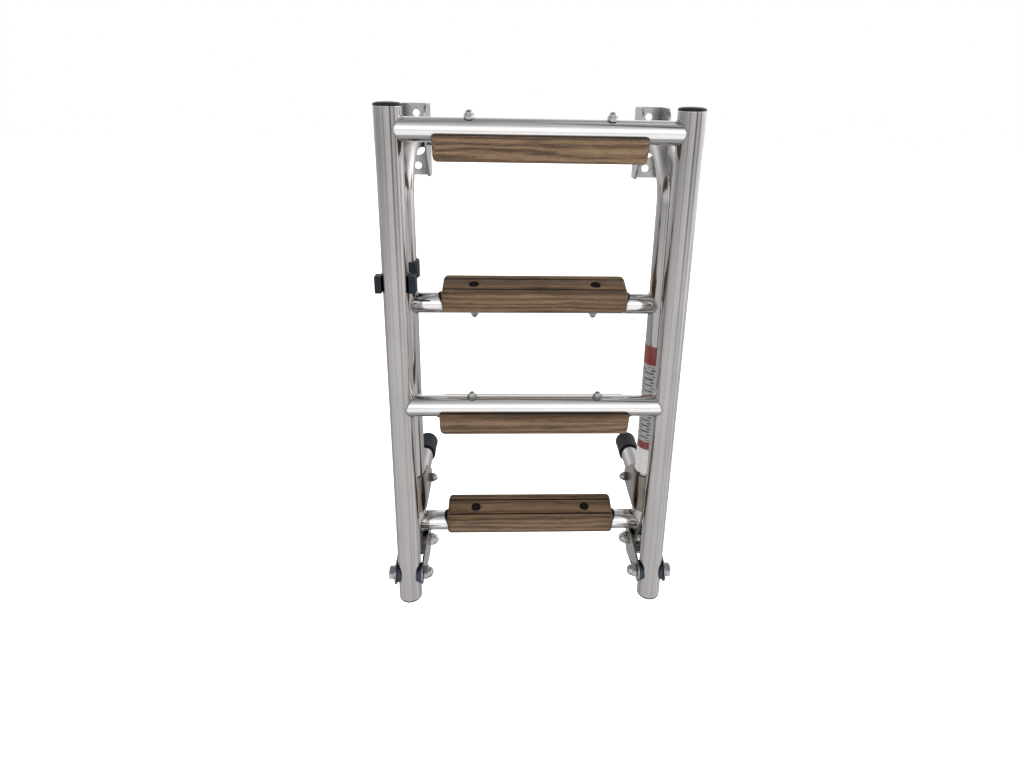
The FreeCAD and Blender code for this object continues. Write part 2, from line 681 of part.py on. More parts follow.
def make_stop_screw(side, sign):
    """Small domed nut and washer on the link's web, over the end of the stop screw below it."""
    name = f"StopScrew{side.title()}"
    middle = -cell("fold_pitch") / 2
    washer = cylinder(name + "Washer", cell("small_across") * 0.62, 1.0, 0, 0, 0)
    flats = doc.addObject("Part::Prism", name + "Hex")
    flats.Polygon = 6
    bind(flats, "Circumradius", cell("small_across") * 0.5)
    bind(flats, "Height", cell("small_nut_height") * 0.7)
    dome = doc.addObject("Part::Sphere", name + "Dome")
    bind(dome, "Radius", cell("small_across") * 0.4)
    dome.setExpression("Placement.Base.z", (cell("small_nut_height") * 0.62).text)
    item = fuse(name, [washer, flats, dome])
    place(item, HALF_GAUGE * sign - cell("stop_screw_offset"), UPPER_Y + middle,
          FOLD_Z + cell("link_web_rise") + cell("link_sheet"))
    return node(item, f"link_stop_screw_{side}")


# ---------------------------------------------------------------------------------------------
# Hinge hardware
# ---------------------------------------------------------------------------------------------
def hinge_bolt(name, sign, y, z, cheek_half, diameter, across, head, under_head, nut_height):
    """A bolt along X through one rail. Its head is on the outboard side, its thread in the acorn nut."""
    outer = cheek_half + under_head
    shank_length = outer + cheek_half + nut_height * 0.5
    shank = doc.addObject("Part::Cylinder", name + "Shank")
    bind(shank, "Radius", diameter / 2)
    bind(shank, "Height", shank_length)
    hexagon = doc.addObject("Part::Prism", name + "Hex")
    hexagon.Polygon = 6
    bind(hexagon, "Circumradius", across / 2 / math.cos(math.radians(30)))
    bind(hexagon, "Height", head)
    hexagon.setExpression("Placement.Base.z", (-as_size(head)).text)
    bolt = fuse(name, [shank, hexagon])
    place(bolt, (HALF_GAUGE + outer) * sign, y, z, Y_AXIS, -90.0 * sign)
    return bolt


def flat_ring(name, radius, bore, thickness, x, y, z):
    """A washer along X that starts at x."""
    disc = rod_along_x(name + "Disc", radius, thickness, x, y, z)
    hole = rod_along_x(name + "Hole", bore, thickness, x, y, z)
    return cut(name, disc, [hole])


def saddle_ring(name, x, y, z, start, length, upright):
    """A washer along X, flat on the cheek's side and hollowed to sit on the rail at x, which turns with it."""
    radius = cell("washer_diameter") / 2
    disc = rod_along_x(name + "Disc", radius, length, start, y, z)
    hole = rod_along_x(name + "Hole", cell("bolt_diameter") / 2 + cell("fit"), length, start, y, z)
    if upright:
        tube = cylinder(name + "Tube", RAIL_RADIUS, radius * 2, x, y, z - radius)
    else:
        tube = cylinder(name + "Tube", RAIL_RADIUS, radius * 2, x, y + radius, z, X_AXIS, 90.0)
    return cut(name, disc, [hole, tube])


def make_hinge(prefix, title, y, z, cheek_half, upright=True):
    """Bolts, steel washers, nylon washers and acorn nuts of one hinge axis, left and right."""
    bolts = []
    nuts = []
    steel = []
    nylon = []
    radius = cell("bolt_diameter") / 2
    for side, sign in SIDES:
        name = title + side.title()
        bolts.append(hinge_bolt(name + "Bolt", sign, y, z, cheek_half, cell("bolt_diameter"),
                                cell("bolt_across"), cell("bolt_head"), cell("steel_washer_thick"),
                                cell("nut_height")))
        nuts.append(acorn_nut(name + "Nut", cell("bolt_across"), cell("nut_height"), radius,
                              (HALF_GAUGE - cheek_half) * sign, y, z, Y_AXIS, -90.0 * sign))
        outboard = HALF_GAUGE + cheek_half if sign > 0 else -HALF_GAUGE - cheek_half - cell("steel_washer_thick")
        steel.append(flat_ring(name + "Steel", cell("steel_washer_diameter") / 2, radius,
                               cell("steel_washer_thick"), outboard, y, z))
        rail_x = HALF_GAUGE * sign
        length = cell("link_gap") / 2 - cell("washer_play")
        nylon.append(saddle_ring(name + "LowNylon", rail_x, y, z, rail_x - length, length, upright))
        nylon.append(saddle_ring(name + "HighNylon", rail_x, y, z, rail_x, length, upright))
    compound(f"{prefix}_bolts", bolts)
    compound(f"{prefix}_nuts", nuts)
    compound(f"{prefix}_steel_washers", steel)
    compound(f"{prefix}_nylon_washers", nylon)


# ---------------------------------------------------------------------------------------------
# Standoff legs
# ---------------------------------------------------------------------------------------------
def make_saddle(side, sign):
    """Strap round the front of an upper rail whose ears carry the leg bolt behind the rail."""
    name = f"Saddle{side.title()}"
    item = body(name)
    half_width = RAIL_RADIUS + cell("saddle_sheet")
    ear_back = cell("rail_offset") - cell("leg_bolt_reach")
    lobe_radius = cell("saddle_bottom")

    wrap = sketch(item, name + "Wrap", "XY_Plane", -lobe_radius)
    draw_circle(wrap, 0, 0, half_width)
    pad(item, wrap, cell("saddle_top") + lobe_radius)
    ears = sketch(item, name + "Ears", "YZ_Plane")
    draw_polygon(ears, [
        (0, -lobe_radius),
        (ear_back, -lobe_radius),
        (ear_back + lobe_radius * 0.75, lobe_radius * 0.66),
        (RAIL_RADIUS + 1, cell("saddle_top")),
        (0, cell("saddle_top")),
    ])
    pad(item, ears, half_width * 2, midplane=True)
    lobe = sketch(item, name + "Lobe", "YZ_Plane")
    draw_circle(lobe, ear_back, 0, lobe_radius)
    pad(item, lobe, half_width * 2, midplane=True)

    rail = sketch(item, name + "Rail", "XY_Plane", -lobe_radius - 1)
    draw_circle(rail, 0, 0, RAIL_RADIUS)
    pocket(item, rail, cell("saddle_top") + lobe_radius + 2, reverse=True)
    inside = sketch(item, name + "Inside", "YZ_Plane")
    far = ear_back + lobe_radius * 2
    draw_polygon(inside, [
        (0, -lobe_radius - 1),
        (far, -lobe_radius - 1),
        (far, cell("saddle_top") + 1),
        (0, cell("saddle_top") + 1),
    ])
    pocket(item, inside, cell("rail_diameter"), midplane=True)
    bore = sketch(item, name + "Bore", "YZ_Plane")
    draw_circle(bore, ear_back, 0, cell("leg_bolt_diameter") / 2)
    pocket(item, bore, half_width * 2 + 2, midplane=True)
    place(item, HALF_GAUGE * sign, UPPER_Y, LEG_Z)
    return node(item, f"leg_saddle_{side}")


def make_leg(side, sign):
    """Standoff tube that turns on the leg bolt and points at the hull."""
    name = f"Leg{side.title()}"
    item = body(name)
    front = LEG_BOLT_Y - cell("leg_stub")
    section = sketch(item, name + "Section", "XZ_Plane", cell("leg_pad"))
    draw_circle(section, 0, 0, RUNG_RADIUS)
    draw_circle(section, 0, 0, RUNG_BORE)
    pad(item, section, -front - cell("leg_pad"))
    bore = sketch(item, name + "Bore", "YZ_Plane")
    draw_circle(bore, LEG_BOLT_Y, 0, cell("leg_bolt_diameter") / 2 + cell("fit"))
    pocket(item, bore, cell("rung_diameter") + 4, midplane=True)
    place(item, HALF_GAUGE * sign, 0, LEG_Z)
    return node(item, f"standoff_leg_{side}")


def make_leg_cap(side, sign):
    """Rubber cup over the hull end of a leg."""
    name = f"LegCap{side.title()}"
    item = body(name)
    cup = sketch(item, name + "Cup", "XZ_Plane")
    draw_circle(cup, 0, 0, cell("leg_cap_diameter") / 2)
    pad(item, cup, cell("leg_cap_length"))

    def hull_rim(edge):
        return abs(edge.CenterOfMass.y) < 0.01

    fillet(item, cell("leg_pad") * 0.8, hull_rim)
    inside = sketch(item, name + "Inside", "XZ_Plane", cell("leg_pad"))
    draw_circle(inside, 0, 0, RUNG_RADIUS)
    pocket(item, inside, cell("leg_cap_length"), reverse=True)
    place(item, HALF_GAUGE * sign, 0, LEG_Z)
    return node(item, f"standoff_cap_{side}")


def make_leg_hardware():
    """Leg bolts, nylon washers and acorn nuts, left and right."""
    bolts = []
    nuts = []
    washers = []
    ear_half = RAIL_RADIUS + cell("saddle_sheet")
    radius = cell("leg_bolt_diameter") / 2
    for side, sign in SIDES:
        name = f"Leg{side.title()}"
        bolts.append(hinge_bolt(name + "Bolt", sign, LEG_BOLT_Y, LEG_Z, ear_half, cell("leg_bolt_diameter"),
                                cell("small_across"), cell("bolt_head") * 0.75, as_size(0),
                                cell("small_nut_height")))
        nuts.append(acorn_nut(name + "Nut", cell("small_across"), cell("small_nut_height"), radius,
                              (HALF_GAUGE - ear_half) * sign, LEG_BOLT_Y, LEG_Z, Y_AXIS, -90.0 * sign))
        thickness = RAIL_RADIUS - RUNG_RADIUS - cell("washer_play")
        for face, start in (("Low", -RAIL_RADIUS), ("High", RAIL_RADIUS - thickness)):
            washers.append(flat_ring(name + face + "Nylon", cell("steel_washer_diameter") / 2, radius,
                                     thickness, HALF_GAUGE * sign + start, LEG_BOLT_Y, LEG_Z))
    compound("leg_bolts", bolts)
    compound("leg_nuts", nuts)
    compound("leg_nylon_washers", washers)


# ---------------------------------------------------------------------------------------------
# Retaining clip and label
# ---------------------------------------------------------------------------------------------
def make_clip():
    """Plastic clip: a ring round the left upper rail and an open jaw round the folded lower rail."""
    wall = cell("clip_wall")
    tall = cell("clip_tall")
    bottom = -cell("clip_drop") - tall / 2
    jaw_half = RAIL_RADIUS + cell("clip_play")
    jaw_tip = LOWER_Y - RAIL_RADIUS * 0.45
    reach = UPPER_Y - LOWER_Y
    ring = cylinder("ClipRing", RAIL_RADIUS + wall, tall, -HALF_GAUGE, UPPER_Y, bottom)
    back = cylinder("ClipJawBack", jaw_half + wall, tall, -HALF_GAUGE, LOWER_Y, bottom)
    arms = box("ClipArms", (jaw_half + wall) * 2, LOWER_Y - jaw_tip, tall,
               -HALF_GAUGE - jaw_half - wall, jaw_tip, bottom)
    lip_half = jaw_half + cell("clip_lip")
    lips = box("ClipLips", lip_half * 2, cell("clip_lip_deep"), tall, -HALF_GAUGE - lip_half, jaw_tip, bottom)
    bridge = box("ClipBridge", RAIL_RADIUS, reach, tall * 0.8,
                 -HALF_GAUGE - RAIL_RADIUS / 2, LOWER_Y, bottom + tall * 0.1)
    jaw_hole = cylinder("ClipJawHole", jaw_half, tall + 2, -HALF_GAUGE, LOWER_Y, bottom - 1)
    mouth = box("ClipMouth", jaw_half * 2, jaw_half + wall + 1, tall + 2,
                -HALF_GAUGE - jaw_half, LOWER_Y - jaw_half - wall - 1, bottom - 1)
    front = box("ClipFront", lip_half * 2 + 2, jaw_half + wall, tall + 2,
                -HALF_GAUGE - lip_half - 1, jaw_tip - jaw_half - wall, bottom - 1)
    rail_hole = cylinder("ClipRailHole", RAIL_RADIUS, tall + 2, -HALF_GAUGE, UPPER_Y, bottom - 1)
    solid = fuse("ClipSolid", [ring, back, arms, lips, bridge])
    return node(cut("Clip", solid, [jaw_hole, mouth, front, rail_hole]), "retaining_clip")


def make_label():
    """Plain sticker wrapped round the front and inboard side of the right upper rail."""
    tall = cell("label_bottom") - cell("label_top")
    bottom = -cell("label_bottom")
    wrap = 110.0
    start = 170.0
    outer = cylinder("LabelOuter", RAIL_RADIUS + cell("label_thick"), tall, HALF_GAUGE, UPPER_Y, bottom,
                     Z_AXIS, start, wrap)
    inner = cylinder("LabelInner", RAIL_RADIUS, tall, HALF_GAUGE, UPPER_Y, bottom)
    return node(cut("Label", outer, [inner]), "rail_label")


# ---------------------------------------------------------------------------------------------
# Assembly
# ---------------------------------------------------------------------------------------------
bracket_half = cell("link_gap") / 2 + cell("bracket_sheet")
link_half = cell("link_gap") / 2 + cell("link_sheet")
for side_name, side_sign in SIDES:
    make_bracket(side_name, side_sign)
    make_upper_rail(side_name, side_sign)
    make_rail_cap(f"upper_rail_plug_{side_name}", HALF_GAUGE * side_sign, UPPER_Y,
                  FOLD_Z - cell("upper_stub"), cell("cap_flange"), as_size(0), False)
    make_saddle(side_name, side_sign)
    make_leg(side_name, side_sign)
    make_leg_cap(side_name, side_sign)
    make_link(side_name, side_sign)
    make_stop_screw(side_name, side_sign)
    make_lower_rail(side_name, side_sign)
    make_rail_cap(f"lower_rail_cap_{side_name}", HALF_GAUGE * side_sign, LOWER_Y, cell("lower_top"),
                  cell("cap_flange"), cell("cap_dome") - cell("cap_flange"), True)
    make_rail_cap(f"lower_rail_plug_{side_name}", HALF_GAUGE * side_sign, LOWER_Y,
                  FOLD_Z - cell("lower_stub"), cell("cap_flange"), as_size(0), False)
make_steps("upper", UPPER_Y, UPPER_RUNGS, 1, False)
make_steps("lower", LOWER_Y, LOWER_RUNGS, 3, True)
make_hinge("bracket", "BracketHinge", BRACKET_BOLT_Y, BRACKET_BOLT_Z, bracket_half, upright=False)
make_hinge("upper_fold", "UpperFold", UPPER_Y, FOLD_Z, link_half)
make_hinge("lower_fold", "LowerFold", LOWER_Y, FOLD_Z, link_half)
make_leg_hardware()
make_clip()
make_label()
doc.recompute()

# ---------------------------------------------------------------------------------------------
# Check everything, then write the files
# ---------------------------------------------------------------------------------------------
for entry in doc.Objects:
    if "Invalid" in entry.State or "Error" in entry.State:
        raise RuntimeError(f"{entry.Label} did not recompute: {entry.State}")
for entry in nodes:
    if entry.Shape.isNull() or not entry.Shape.isValid():
        raise RuntimeError(f"{entry.Label} has no valid shape")

os.makedirs("parts", exist_ok=True)
for entry in nodes:
    entry.Shape.exportStep(f"parts/{entry.Label}.step")
print(f"{len(nodes)} sub-parts written")
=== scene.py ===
import json
import math

import bmesh
import bpy
from mathutils import Matrix, Vector, noise


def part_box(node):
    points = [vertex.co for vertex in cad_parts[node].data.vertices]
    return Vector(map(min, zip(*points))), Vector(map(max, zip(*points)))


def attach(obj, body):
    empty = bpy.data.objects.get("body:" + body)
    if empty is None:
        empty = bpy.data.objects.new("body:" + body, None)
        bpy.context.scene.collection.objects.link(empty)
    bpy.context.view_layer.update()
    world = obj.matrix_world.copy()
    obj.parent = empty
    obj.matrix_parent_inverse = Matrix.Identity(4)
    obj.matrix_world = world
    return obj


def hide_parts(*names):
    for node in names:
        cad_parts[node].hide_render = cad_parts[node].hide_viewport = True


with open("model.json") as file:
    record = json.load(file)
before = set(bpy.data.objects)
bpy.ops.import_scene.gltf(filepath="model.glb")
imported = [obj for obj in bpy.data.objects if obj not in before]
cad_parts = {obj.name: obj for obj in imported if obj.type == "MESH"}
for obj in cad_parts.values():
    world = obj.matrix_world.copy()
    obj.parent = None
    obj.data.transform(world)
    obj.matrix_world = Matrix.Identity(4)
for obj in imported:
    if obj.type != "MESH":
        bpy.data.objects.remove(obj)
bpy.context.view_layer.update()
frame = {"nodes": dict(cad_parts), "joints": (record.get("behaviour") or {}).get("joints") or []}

MM = 0.001
SIDES = (("left", -1), ("right", 1))


# ----------------------------------------------------------
# Measures: read from the frame where it has them, otherwise the sizes the CAD part is built to
# ----------------------------------------------------------
def middle(node):
    low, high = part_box(node)
    return (low + high) / 2


def span(node):
    low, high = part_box(node)
    return high - low


PIVOT = {j["name"]: Vector(j["pos_m"]) for j in frame["joints"]}
GAUGE = middle("lower_rail_right").x
RAIL_R = span("lower_rail_right").x / 2
RUNG_R = span("standoff_leg_left").x / 2
WALL = 1.5 * MM
UPPER_Y = PIVOT["upper_fold_hinge"].y
LOWER_Y = PIVOT["lower_fold_hinge"].y
CHEEK = 13.5 * MM
LINK_SHEET = 2.0 * MM
WASHER_PLAY = 0.25 * MM
BRACKET_SHEET = 2.5 * MM
LINER = 1.0 * MM
TREAD_TILT = math.radians(16.0)
TREAD_LENGTH = span("upper_tread_1").x
TREAD_DEPTH = 38.0 * MM
TREAD_THICK = 23.0 * MM
TREAD_SEAT = 1.0 * MM
TREAD_GROOVE = 2.0 * MM
GROOVE_Y = 9.5 * MM
SCREW_X = 63.5 * MM
HINGE_BOLT_R = 4.0 * MM
HINGE_WASHER = 1.5 * MM
LEG_BOLT_R = 3.0 * MM
SADDLE_SHEET = 1.5 * MM
SHANK_IN_NUT = 4.0 * MM

# Hexagon heads and domed nuts: width across flats, height
HINGE_HEAD = (13.0 * MM, 5.3 * MM)
HINGE_NUT = (13.0 * MM, 11.0 * MM)
LEG_HEAD = (10.0 * MM, 4.0 * MM)
LEG_NUT = (10.0 * MM, 8.5 * MM)
TREAD_NUT = (8.0 * MM, 7.5 * MM)
STOP_NUT_ACROSS = 8.6 * MM
STOP_WASHER = 1.0 * MM

# A hair's breadth that keeps a visible skin off the surface it lies on
HAIR = 0.05 * MM

# Sides of a turned form, and the angle above which an edge stays sharp
TUBE_SIDES = 96
CAP_SIDES = 72
NUT_SIDES = 48
SHARP_NUT = 26.0
SHARP_TURNED = 40.0

STEPS = (
    ("upper", 1, UPPER_Y, middle("upper_rung_1").z, 0.0),
    ("upper", 2, UPPER_Y, middle("upper_rung_2").z, 0.0),
    ("lower", 3, LOWER_Y, middle("lower_rung_3").z, math.pi),
    ("lower", 4, LOWER_Y, middle("lower_rung_4").z, math.pi),
)
BODY_OF = {"upper": "upper_frame", "lower": "lower_frame"}


# ----------------------------------------------------------
# Camera
# ----------------------------------------------------------
def make_camera():
    """A wide lens close to the ladder, level with its brackets and looking down at it."""
    position = (-0.0287, -0.7300, 0.0602)
    pitch, yaw, roll = (math.radians(a) for a in (17.1, 2.3, 1.1))
    forward = Vector((math.sin(yaw) * math.cos(pitch), math.cos(yaw) * math.cos(pitch), -math.sin(pitch)))
    right = Vector((math.cos(yaw), -math.sin(yaw), 0))
    up = right.cross(forward)
    turned_right = right * math.cos(roll) + up * math.sin(roll)
    turned_up = up * math.cos(roll) - right * math.sin(roll)
    rotation = Matrix((turned_right, turned_up, -forward)).transposed()
    data = bpy.data.cameras.new("camera")
    data.sensor_width = 36.0
    data.lens = 21.38
    data.shift_x = -0.01836
    data.shift_y = -0.10684
    data.clip_start = 0.01
    data.clip_end = 100
    camera = bpy.data.objects.new("camera", data)
    camera.matrix_world = Matrix.Translation(position) @ rotation.to_4x4()
    bpy.context.scene.collection.objects.link(camera)
    bpy.context.scene.camera = camera


# ----------------------------------------------------------
# Node materials
# ----------------------------------------------------------
class Nodes:
    """Small helper for building one node tree."""

    def __init__(self, tree):
        self.tree = tree
        self.tree.nodes.clear()

    def add(self, kind, **settings):
        node = self.tree.nodes.new(kind)
        for name, value in settings.items():
            if name.startswith("in_"):
                key = name[3:]
                socket = node.inputs[int(key)] if key.isdigit() else node.inputs[key.replace("_", " ")]
                if isinstance(value, bpy.types.NodeSocket):
                    self.tree.links.new(value, socket)
                else:
                    socket.default_value = value
            else:
                setattr(node, name, value)
        return node

    def link(self, source, target):
        self.tree.links.new(source, target)

    def ramp(self, factor, stops, mode="LINEAR"):
        node = self.tree.nodes.new("ShaderNodeValToRGB")
        node.color_ramp.interpolation = mode
        elements = node.color_ramp.elements
        while len(elements) < len(stops):
            elements.new(0.5)
        for element, (place, colour) in zip(elements, stops):
            element.position = place
            element.color = (*colour, 1.0)
        self.link(factor, node.inputs[0])
        return node.outputs[0]

    def math(self, operation, a, b=0.0):
        node = self.add("ShaderNodeMath", operation=operation, in_0=a, in_1=b)
        return node.outputs[0]

    def mix(self, factor, a, b, blend="MIX"):
        node = self.tree.nodes.new("ShaderNodeMix")
        node.data_type = "RGBA"
        node.blend_type = blend
        for socket, value in zip((node.inputs[0], node.inputs[6], node.inputs[7]), (factor, a, b)):
            if isinstance(value, bpy.types.NodeSocket):
                self.link(value, socket)
            elif isinstance(value, tuple):
                socket.default_value = (*value, 1.0)
            else:
                socket.default_value = value
        return node.outputs[2]

    def span(self, value, from_low, from_high, to_low, to_high):
        node = self.add("ShaderNodeMapRange", in_0=value, in_1=from_low, in_2=from_high, in_3=to_low, in_4=to_high)
        return node.outputs[0]

    def noise(self, vector, scale, detail=2.0, roughness=0.5, distortion=0.0):
        node = self.add("ShaderNodeTexNoise", in_Vector=vector, in_Scale=scale, in_Detail=detail,
                        in_Roughness=roughness, in_Distortion=distortion)
        return node.outputs[0]

    def stretched(self, vector, scale, location=(0, 0, 0)):
        node = self.add("ShaderNodeMapping", in_Vector=vector, in_Scale=scale, in_Location=location)
        return node.outputs[0]

    def painted_corner_shade(self, colour, reach, darkest):
        """Painted shade in tight corners: the colour falls to a share of itself where surfaces meet, by ambient
        occlusion.
        """
        node = self.add("ShaderNodeAmbientOcclusion", samples=6, in_Distance=reach)
        shade = self.ramp(node.outputs["AO"], [(0.25, (darkest,) * 3), (0.85, (1.0, 1.0, 1.0))])
        return self.mix(1.0, colour, shade, "MULTIPLY")

    def bump(self, height, strength, distance):
        node = self.add("ShaderNodeBump", in_Strength=strength, in_Distance=distance, in_Height=height)
        return node.outputs[0]


def new_material(name):
    material = bpy.data.materials.new(name)
    material.use_nodes = True
    nodes = Nodes(material.node_tree)
    output = nodes.add("ShaderNodeOutputMaterial")
    shader = nodes.add("ShaderNodeBsdfPrincipled")
    nodes.link(shader.outputs[0], output.inputs[0])
    place = nodes.add("ShaderNodeTexCoord").outputs["Object"]
    return material, nodes, shader, place


def steel(name, tone, rough, spread, anisotropic=0.0, smudge=0.05, tint=(1.0, 0.985, 0.975), streaks=0.0):
    """Polished stainless steel: slight tone variation, smudges, a trace of polishing lines and painted shade in
    corners.
    """
    material, nodes, shader, place = new_material(name)
    broad = nodes.noise(place, 22.0, 3.0, 0.55)
    fine = nodes.noise(place, 900.0, 2.0, 0.6)
    light = tuple(min(1.0, tone * t) for t in tint)
    dark = tuple(c * (1 - smudge * 2) for c in light)
    colour = nodes.ramp(broad, [(0.3, dark), (0.7, light)])
    if streaks:
        lines = nodes.noise(nodes.stretched(place, (1.0, 1.0, 0.015)), 260.0, 2.0, 0.55)
        shade = nodes.ramp(lines, [(0.38, (1.0 - streaks,) * 3), (0.60, (1.0, 1.0, 1.0))])
        colour = nodes.mix(1.0, colour, shade, "MULTIPLY")
    # Painted shade: the colour darkens in corners and where parts meet
    nodes.link(nodes.painted_corner_shade(colour, 5.0 * MM, 0.25), shader.inputs["Base Color"])
    rough_map = nodes.math("ADD", nodes.span(broad, 0.3, 0.7, rough, rough + spread),
                           nodes.span(fine, 0.3, 0.7, 0.0, spread * 0.5))
    nodes.link(rough_map, shader.inputs["Roughness"])
    shader.inputs["Metallic"].default_value = 1.0
    if anisotropic:
        shader.inputs["Anisotropic"].default_value = anisotropic
        shader.inputs["Anisotropic Rotation"].default_value = 0.25
        tangent = nodes.add("ShaderNodeTangent", direction_type="UV_MAP", uv_map="around")
        nodes.link(tangent.outputs[0], shader.inputs["Tangent"])
    nodes.link(nodes.bump(fine, 0.06, 0.00005), shader.inputs["Normal"])
    return material


def pressed_steel(name, dull=1.0, warm=0.0):
    """Folded sheet: grey with warm mill patches, fine rolling marks and painted shade in corners."""
    material, nodes, shader, place = new_material(name)
    patch = nodes.noise(place, 70.0, 3.0, 0.6)
    marks = nodes.noise(nodes.stretched(place, (1.0, 1.0, 0.12)), 1400.0, 2.0, 0.6)
    colour = nodes.ramp(patch, [(0.32, (0.40, 0.41, 0.44)), (0.50, (0.56, 0.56, 0.57)), (0.62, (0.60, 0.54, 0.46)),
                                (0.80, (0.64, 0.63, 0.62))])
    worn = nodes.mix(nodes.span(marks, 0.45, 0.75, 0.0, 0.35), colour, (0.30, 0.30, 0.32))
    tone = nodes.mix(1.0, worn, (dull * (1 + warm), dull, dull * (1 - warm)), "MULTIPLY")
    # Painted shade: the colour darkens in bends and where parts meet
    nodes.link(nodes.painted_corner_shade(tone, 6.0 * MM, 0.30), shader.inputs["Base Color"])
    nodes.link(nodes.span(marks, 0.3, 0.7, 0.14, 0.26), shader.inputs["Roughness"])
    shader.inputs["Metallic"].default_value = 1.0
    nodes.link(nodes.bump(marks, 0.08, 0.00008), shader.inputs["Normal"])
    return material


def teak(name, shift):
    """Oiled teak: growth rings along the board, fine dark pores and slow colour changes."""
    material, nodes, shader, place = new_material(name)
    moved = nodes.stretched(place, (1.0, 1.0, 1.0), shift)
    along = nodes.stretched(moved, (0.10, 1.0, 1.0))
    wander = nodes.noise(along, 55.0, 3.0, 0.55)
    rings = nodes.add("ShaderNodeTexWave", wave_type="RINGS", rings_direction="X", wave_profile="SIN",
                      in_Vector=along, in_Scale=52.0, in_Distortion=9.0, in_Detail=3.0, in_Detail_Scale=1.1,
                      in_Detail_Roughness=0.6).outputs["Fac"]
    grain = nodes.noise(nodes.stretched(moved, (0.04, 1.0, 1.0)), 1250.0, 4.0, 0.72)
    pores = nodes.noise(nodes.stretched(moved, (0.12, 1.0, 1.0)), 2300.0, 2.0, 0.6)
    slow = nodes.noise(nodes.stretched(moved, (0.25, 1.0, 1.0)), 38.0, 2.0, 0.5)
    mixed = nodes.math("ADD", nodes.math("MULTIPLY", rings, 0.17), nodes.math("MULTIPLY", grain, 0.62))
    mixed = nodes.math("ADD", mixed, nodes.math("MULTIPLY", wander, 0.30))
    base = nodes.ramp(mixed, [(0.38, (0.030, 0.017, 0.008)), (0.49, (0.083, 0.048, 0.024)),
                              (0.60, (0.146, 0.088, 0.047)), (0.80, (0.235, 0.150, 0.084))])
    toned = nodes.mix(nodes.span(slow, 0.35, 0.7, 0.0, 0.32), base, (0.110, 0.066, 0.034))
    dark_pores = nodes.span(pores, 0.57, 0.70, 0.0, 0.70)
    nodes.link(nodes.mix(dark_pores, toned, (0.032, 0.018, 0.010)), shader.inputs["Base Color"])
    nodes.link(nodes.span(grain, 0.3, 0.7, 0.62, 0.48), shader.inputs["Roughness"])
    shader.inputs["Specular IOR Level"].default_value = 0.35
    height = nodes.math("SUBTRACT", nodes.math("MULTIPLY", grain, 0.6), dark_pores)
    nodes.link(nodes.bump(height, 0.35, 0.0003), shader.inputs["Normal"])
    return material


def moulded(name, colour, rough, grain_scale, grain_strength, lift=(1.9, 2.0, 2.3)):
    """Moulded plastic or rubber: fine surface grain, faint dusty patches."""
    material, nodes, shader, place = new_material(name)
    dust = nodes.noise(place, 60.0, 4.0, 0.6)
    lighter = tuple(c * m for c, m in zip(colour, lift))
    nodes.link(nodes.ramp(dust, [(0.42, colour), (0.78, lighter)]), shader.inputs["Base Color"])
    nodes.link(nodes.span(dust, 0.3, 0.7, rough, rough + 0.12), shader.inputs["Roughness"])
    shader.inputs["Specular IOR Level"].default_value = 0.22
    nodes.link(nodes.bump(nodes.noise(place, grain_scale, 2.0), grain_strength, 0.0002), shader.inputs["Normal"])
    return material


def sticker(name, low, high):
    """Film with two plain red blocks and, between them, rows of plain grey dashes that spell nothing."""
    material, nodes, shader, place = new_material(name)
    parts = nodes.add("ShaderNodeSeparateXYZ", in_0=place)
    share = nodes.span(parts.outputs[2], low, high, 0.0, 1.0)
    film = (0.29, 0.288, 0.285)
    red = (0.155, 0.028, 0.026)
    pale = (0.52, 0.515, 0.505)
    around = nodes.math("ADD", parts.outputs[0], parts.outputs[1])
    flat = nodes.add("ShaderNodeCombineXYZ", in_0=around, in_1=parts.outputs[2]).outputs[0]
    dashes = nodes.add("ShaderNodeTexBrick", offset=0.37, offset_frequency=2, in_Vector=flat, in_Color1=(0, 0, 0, 1),
                       in_Color2=(0.35, 0.35, 0.35, 1), in_Mortar=(1, 1, 1, 1), in_Scale=1.0,
                       in_Mortar_Size=0.0009, in_Brick_Width=0.0052, in_Row_Height=0.0036).outputs["Color"]
    gaps = nodes.span(nodes.noise(flat, 320.0, 1.0), 0.60, 0.68, 0.0, 1.0)
    printed = nodes.mix(gaps, dashes, (1.0, 1.0, 1.0))
    zone = nodes.ramp(share, [(0.0, (0, 0, 0)), (0.270, (1, 1, 1)), (0.850, (0, 0, 0))], "CONSTANT")
    ink = nodes.mix(nodes.math("MULTIPLY", zone, 0.92), (1.0, 1.0, 1.0), printed)
    blocks = nodes.ramp(share, [(0.0, pale), (0.197, red), (0.259, film), (0.861, red)], "CONSTANT")
    nodes.link(nodes.mix(1.0, blocks, ink, "MULTIPLY"), shader.inputs["Base Color"])
    nodes.link(nodes.span(nodes.noise(place, 90.0), 0.3, 0.7, 0.22, 0.34), shader.inputs["Roughness"])
    return material


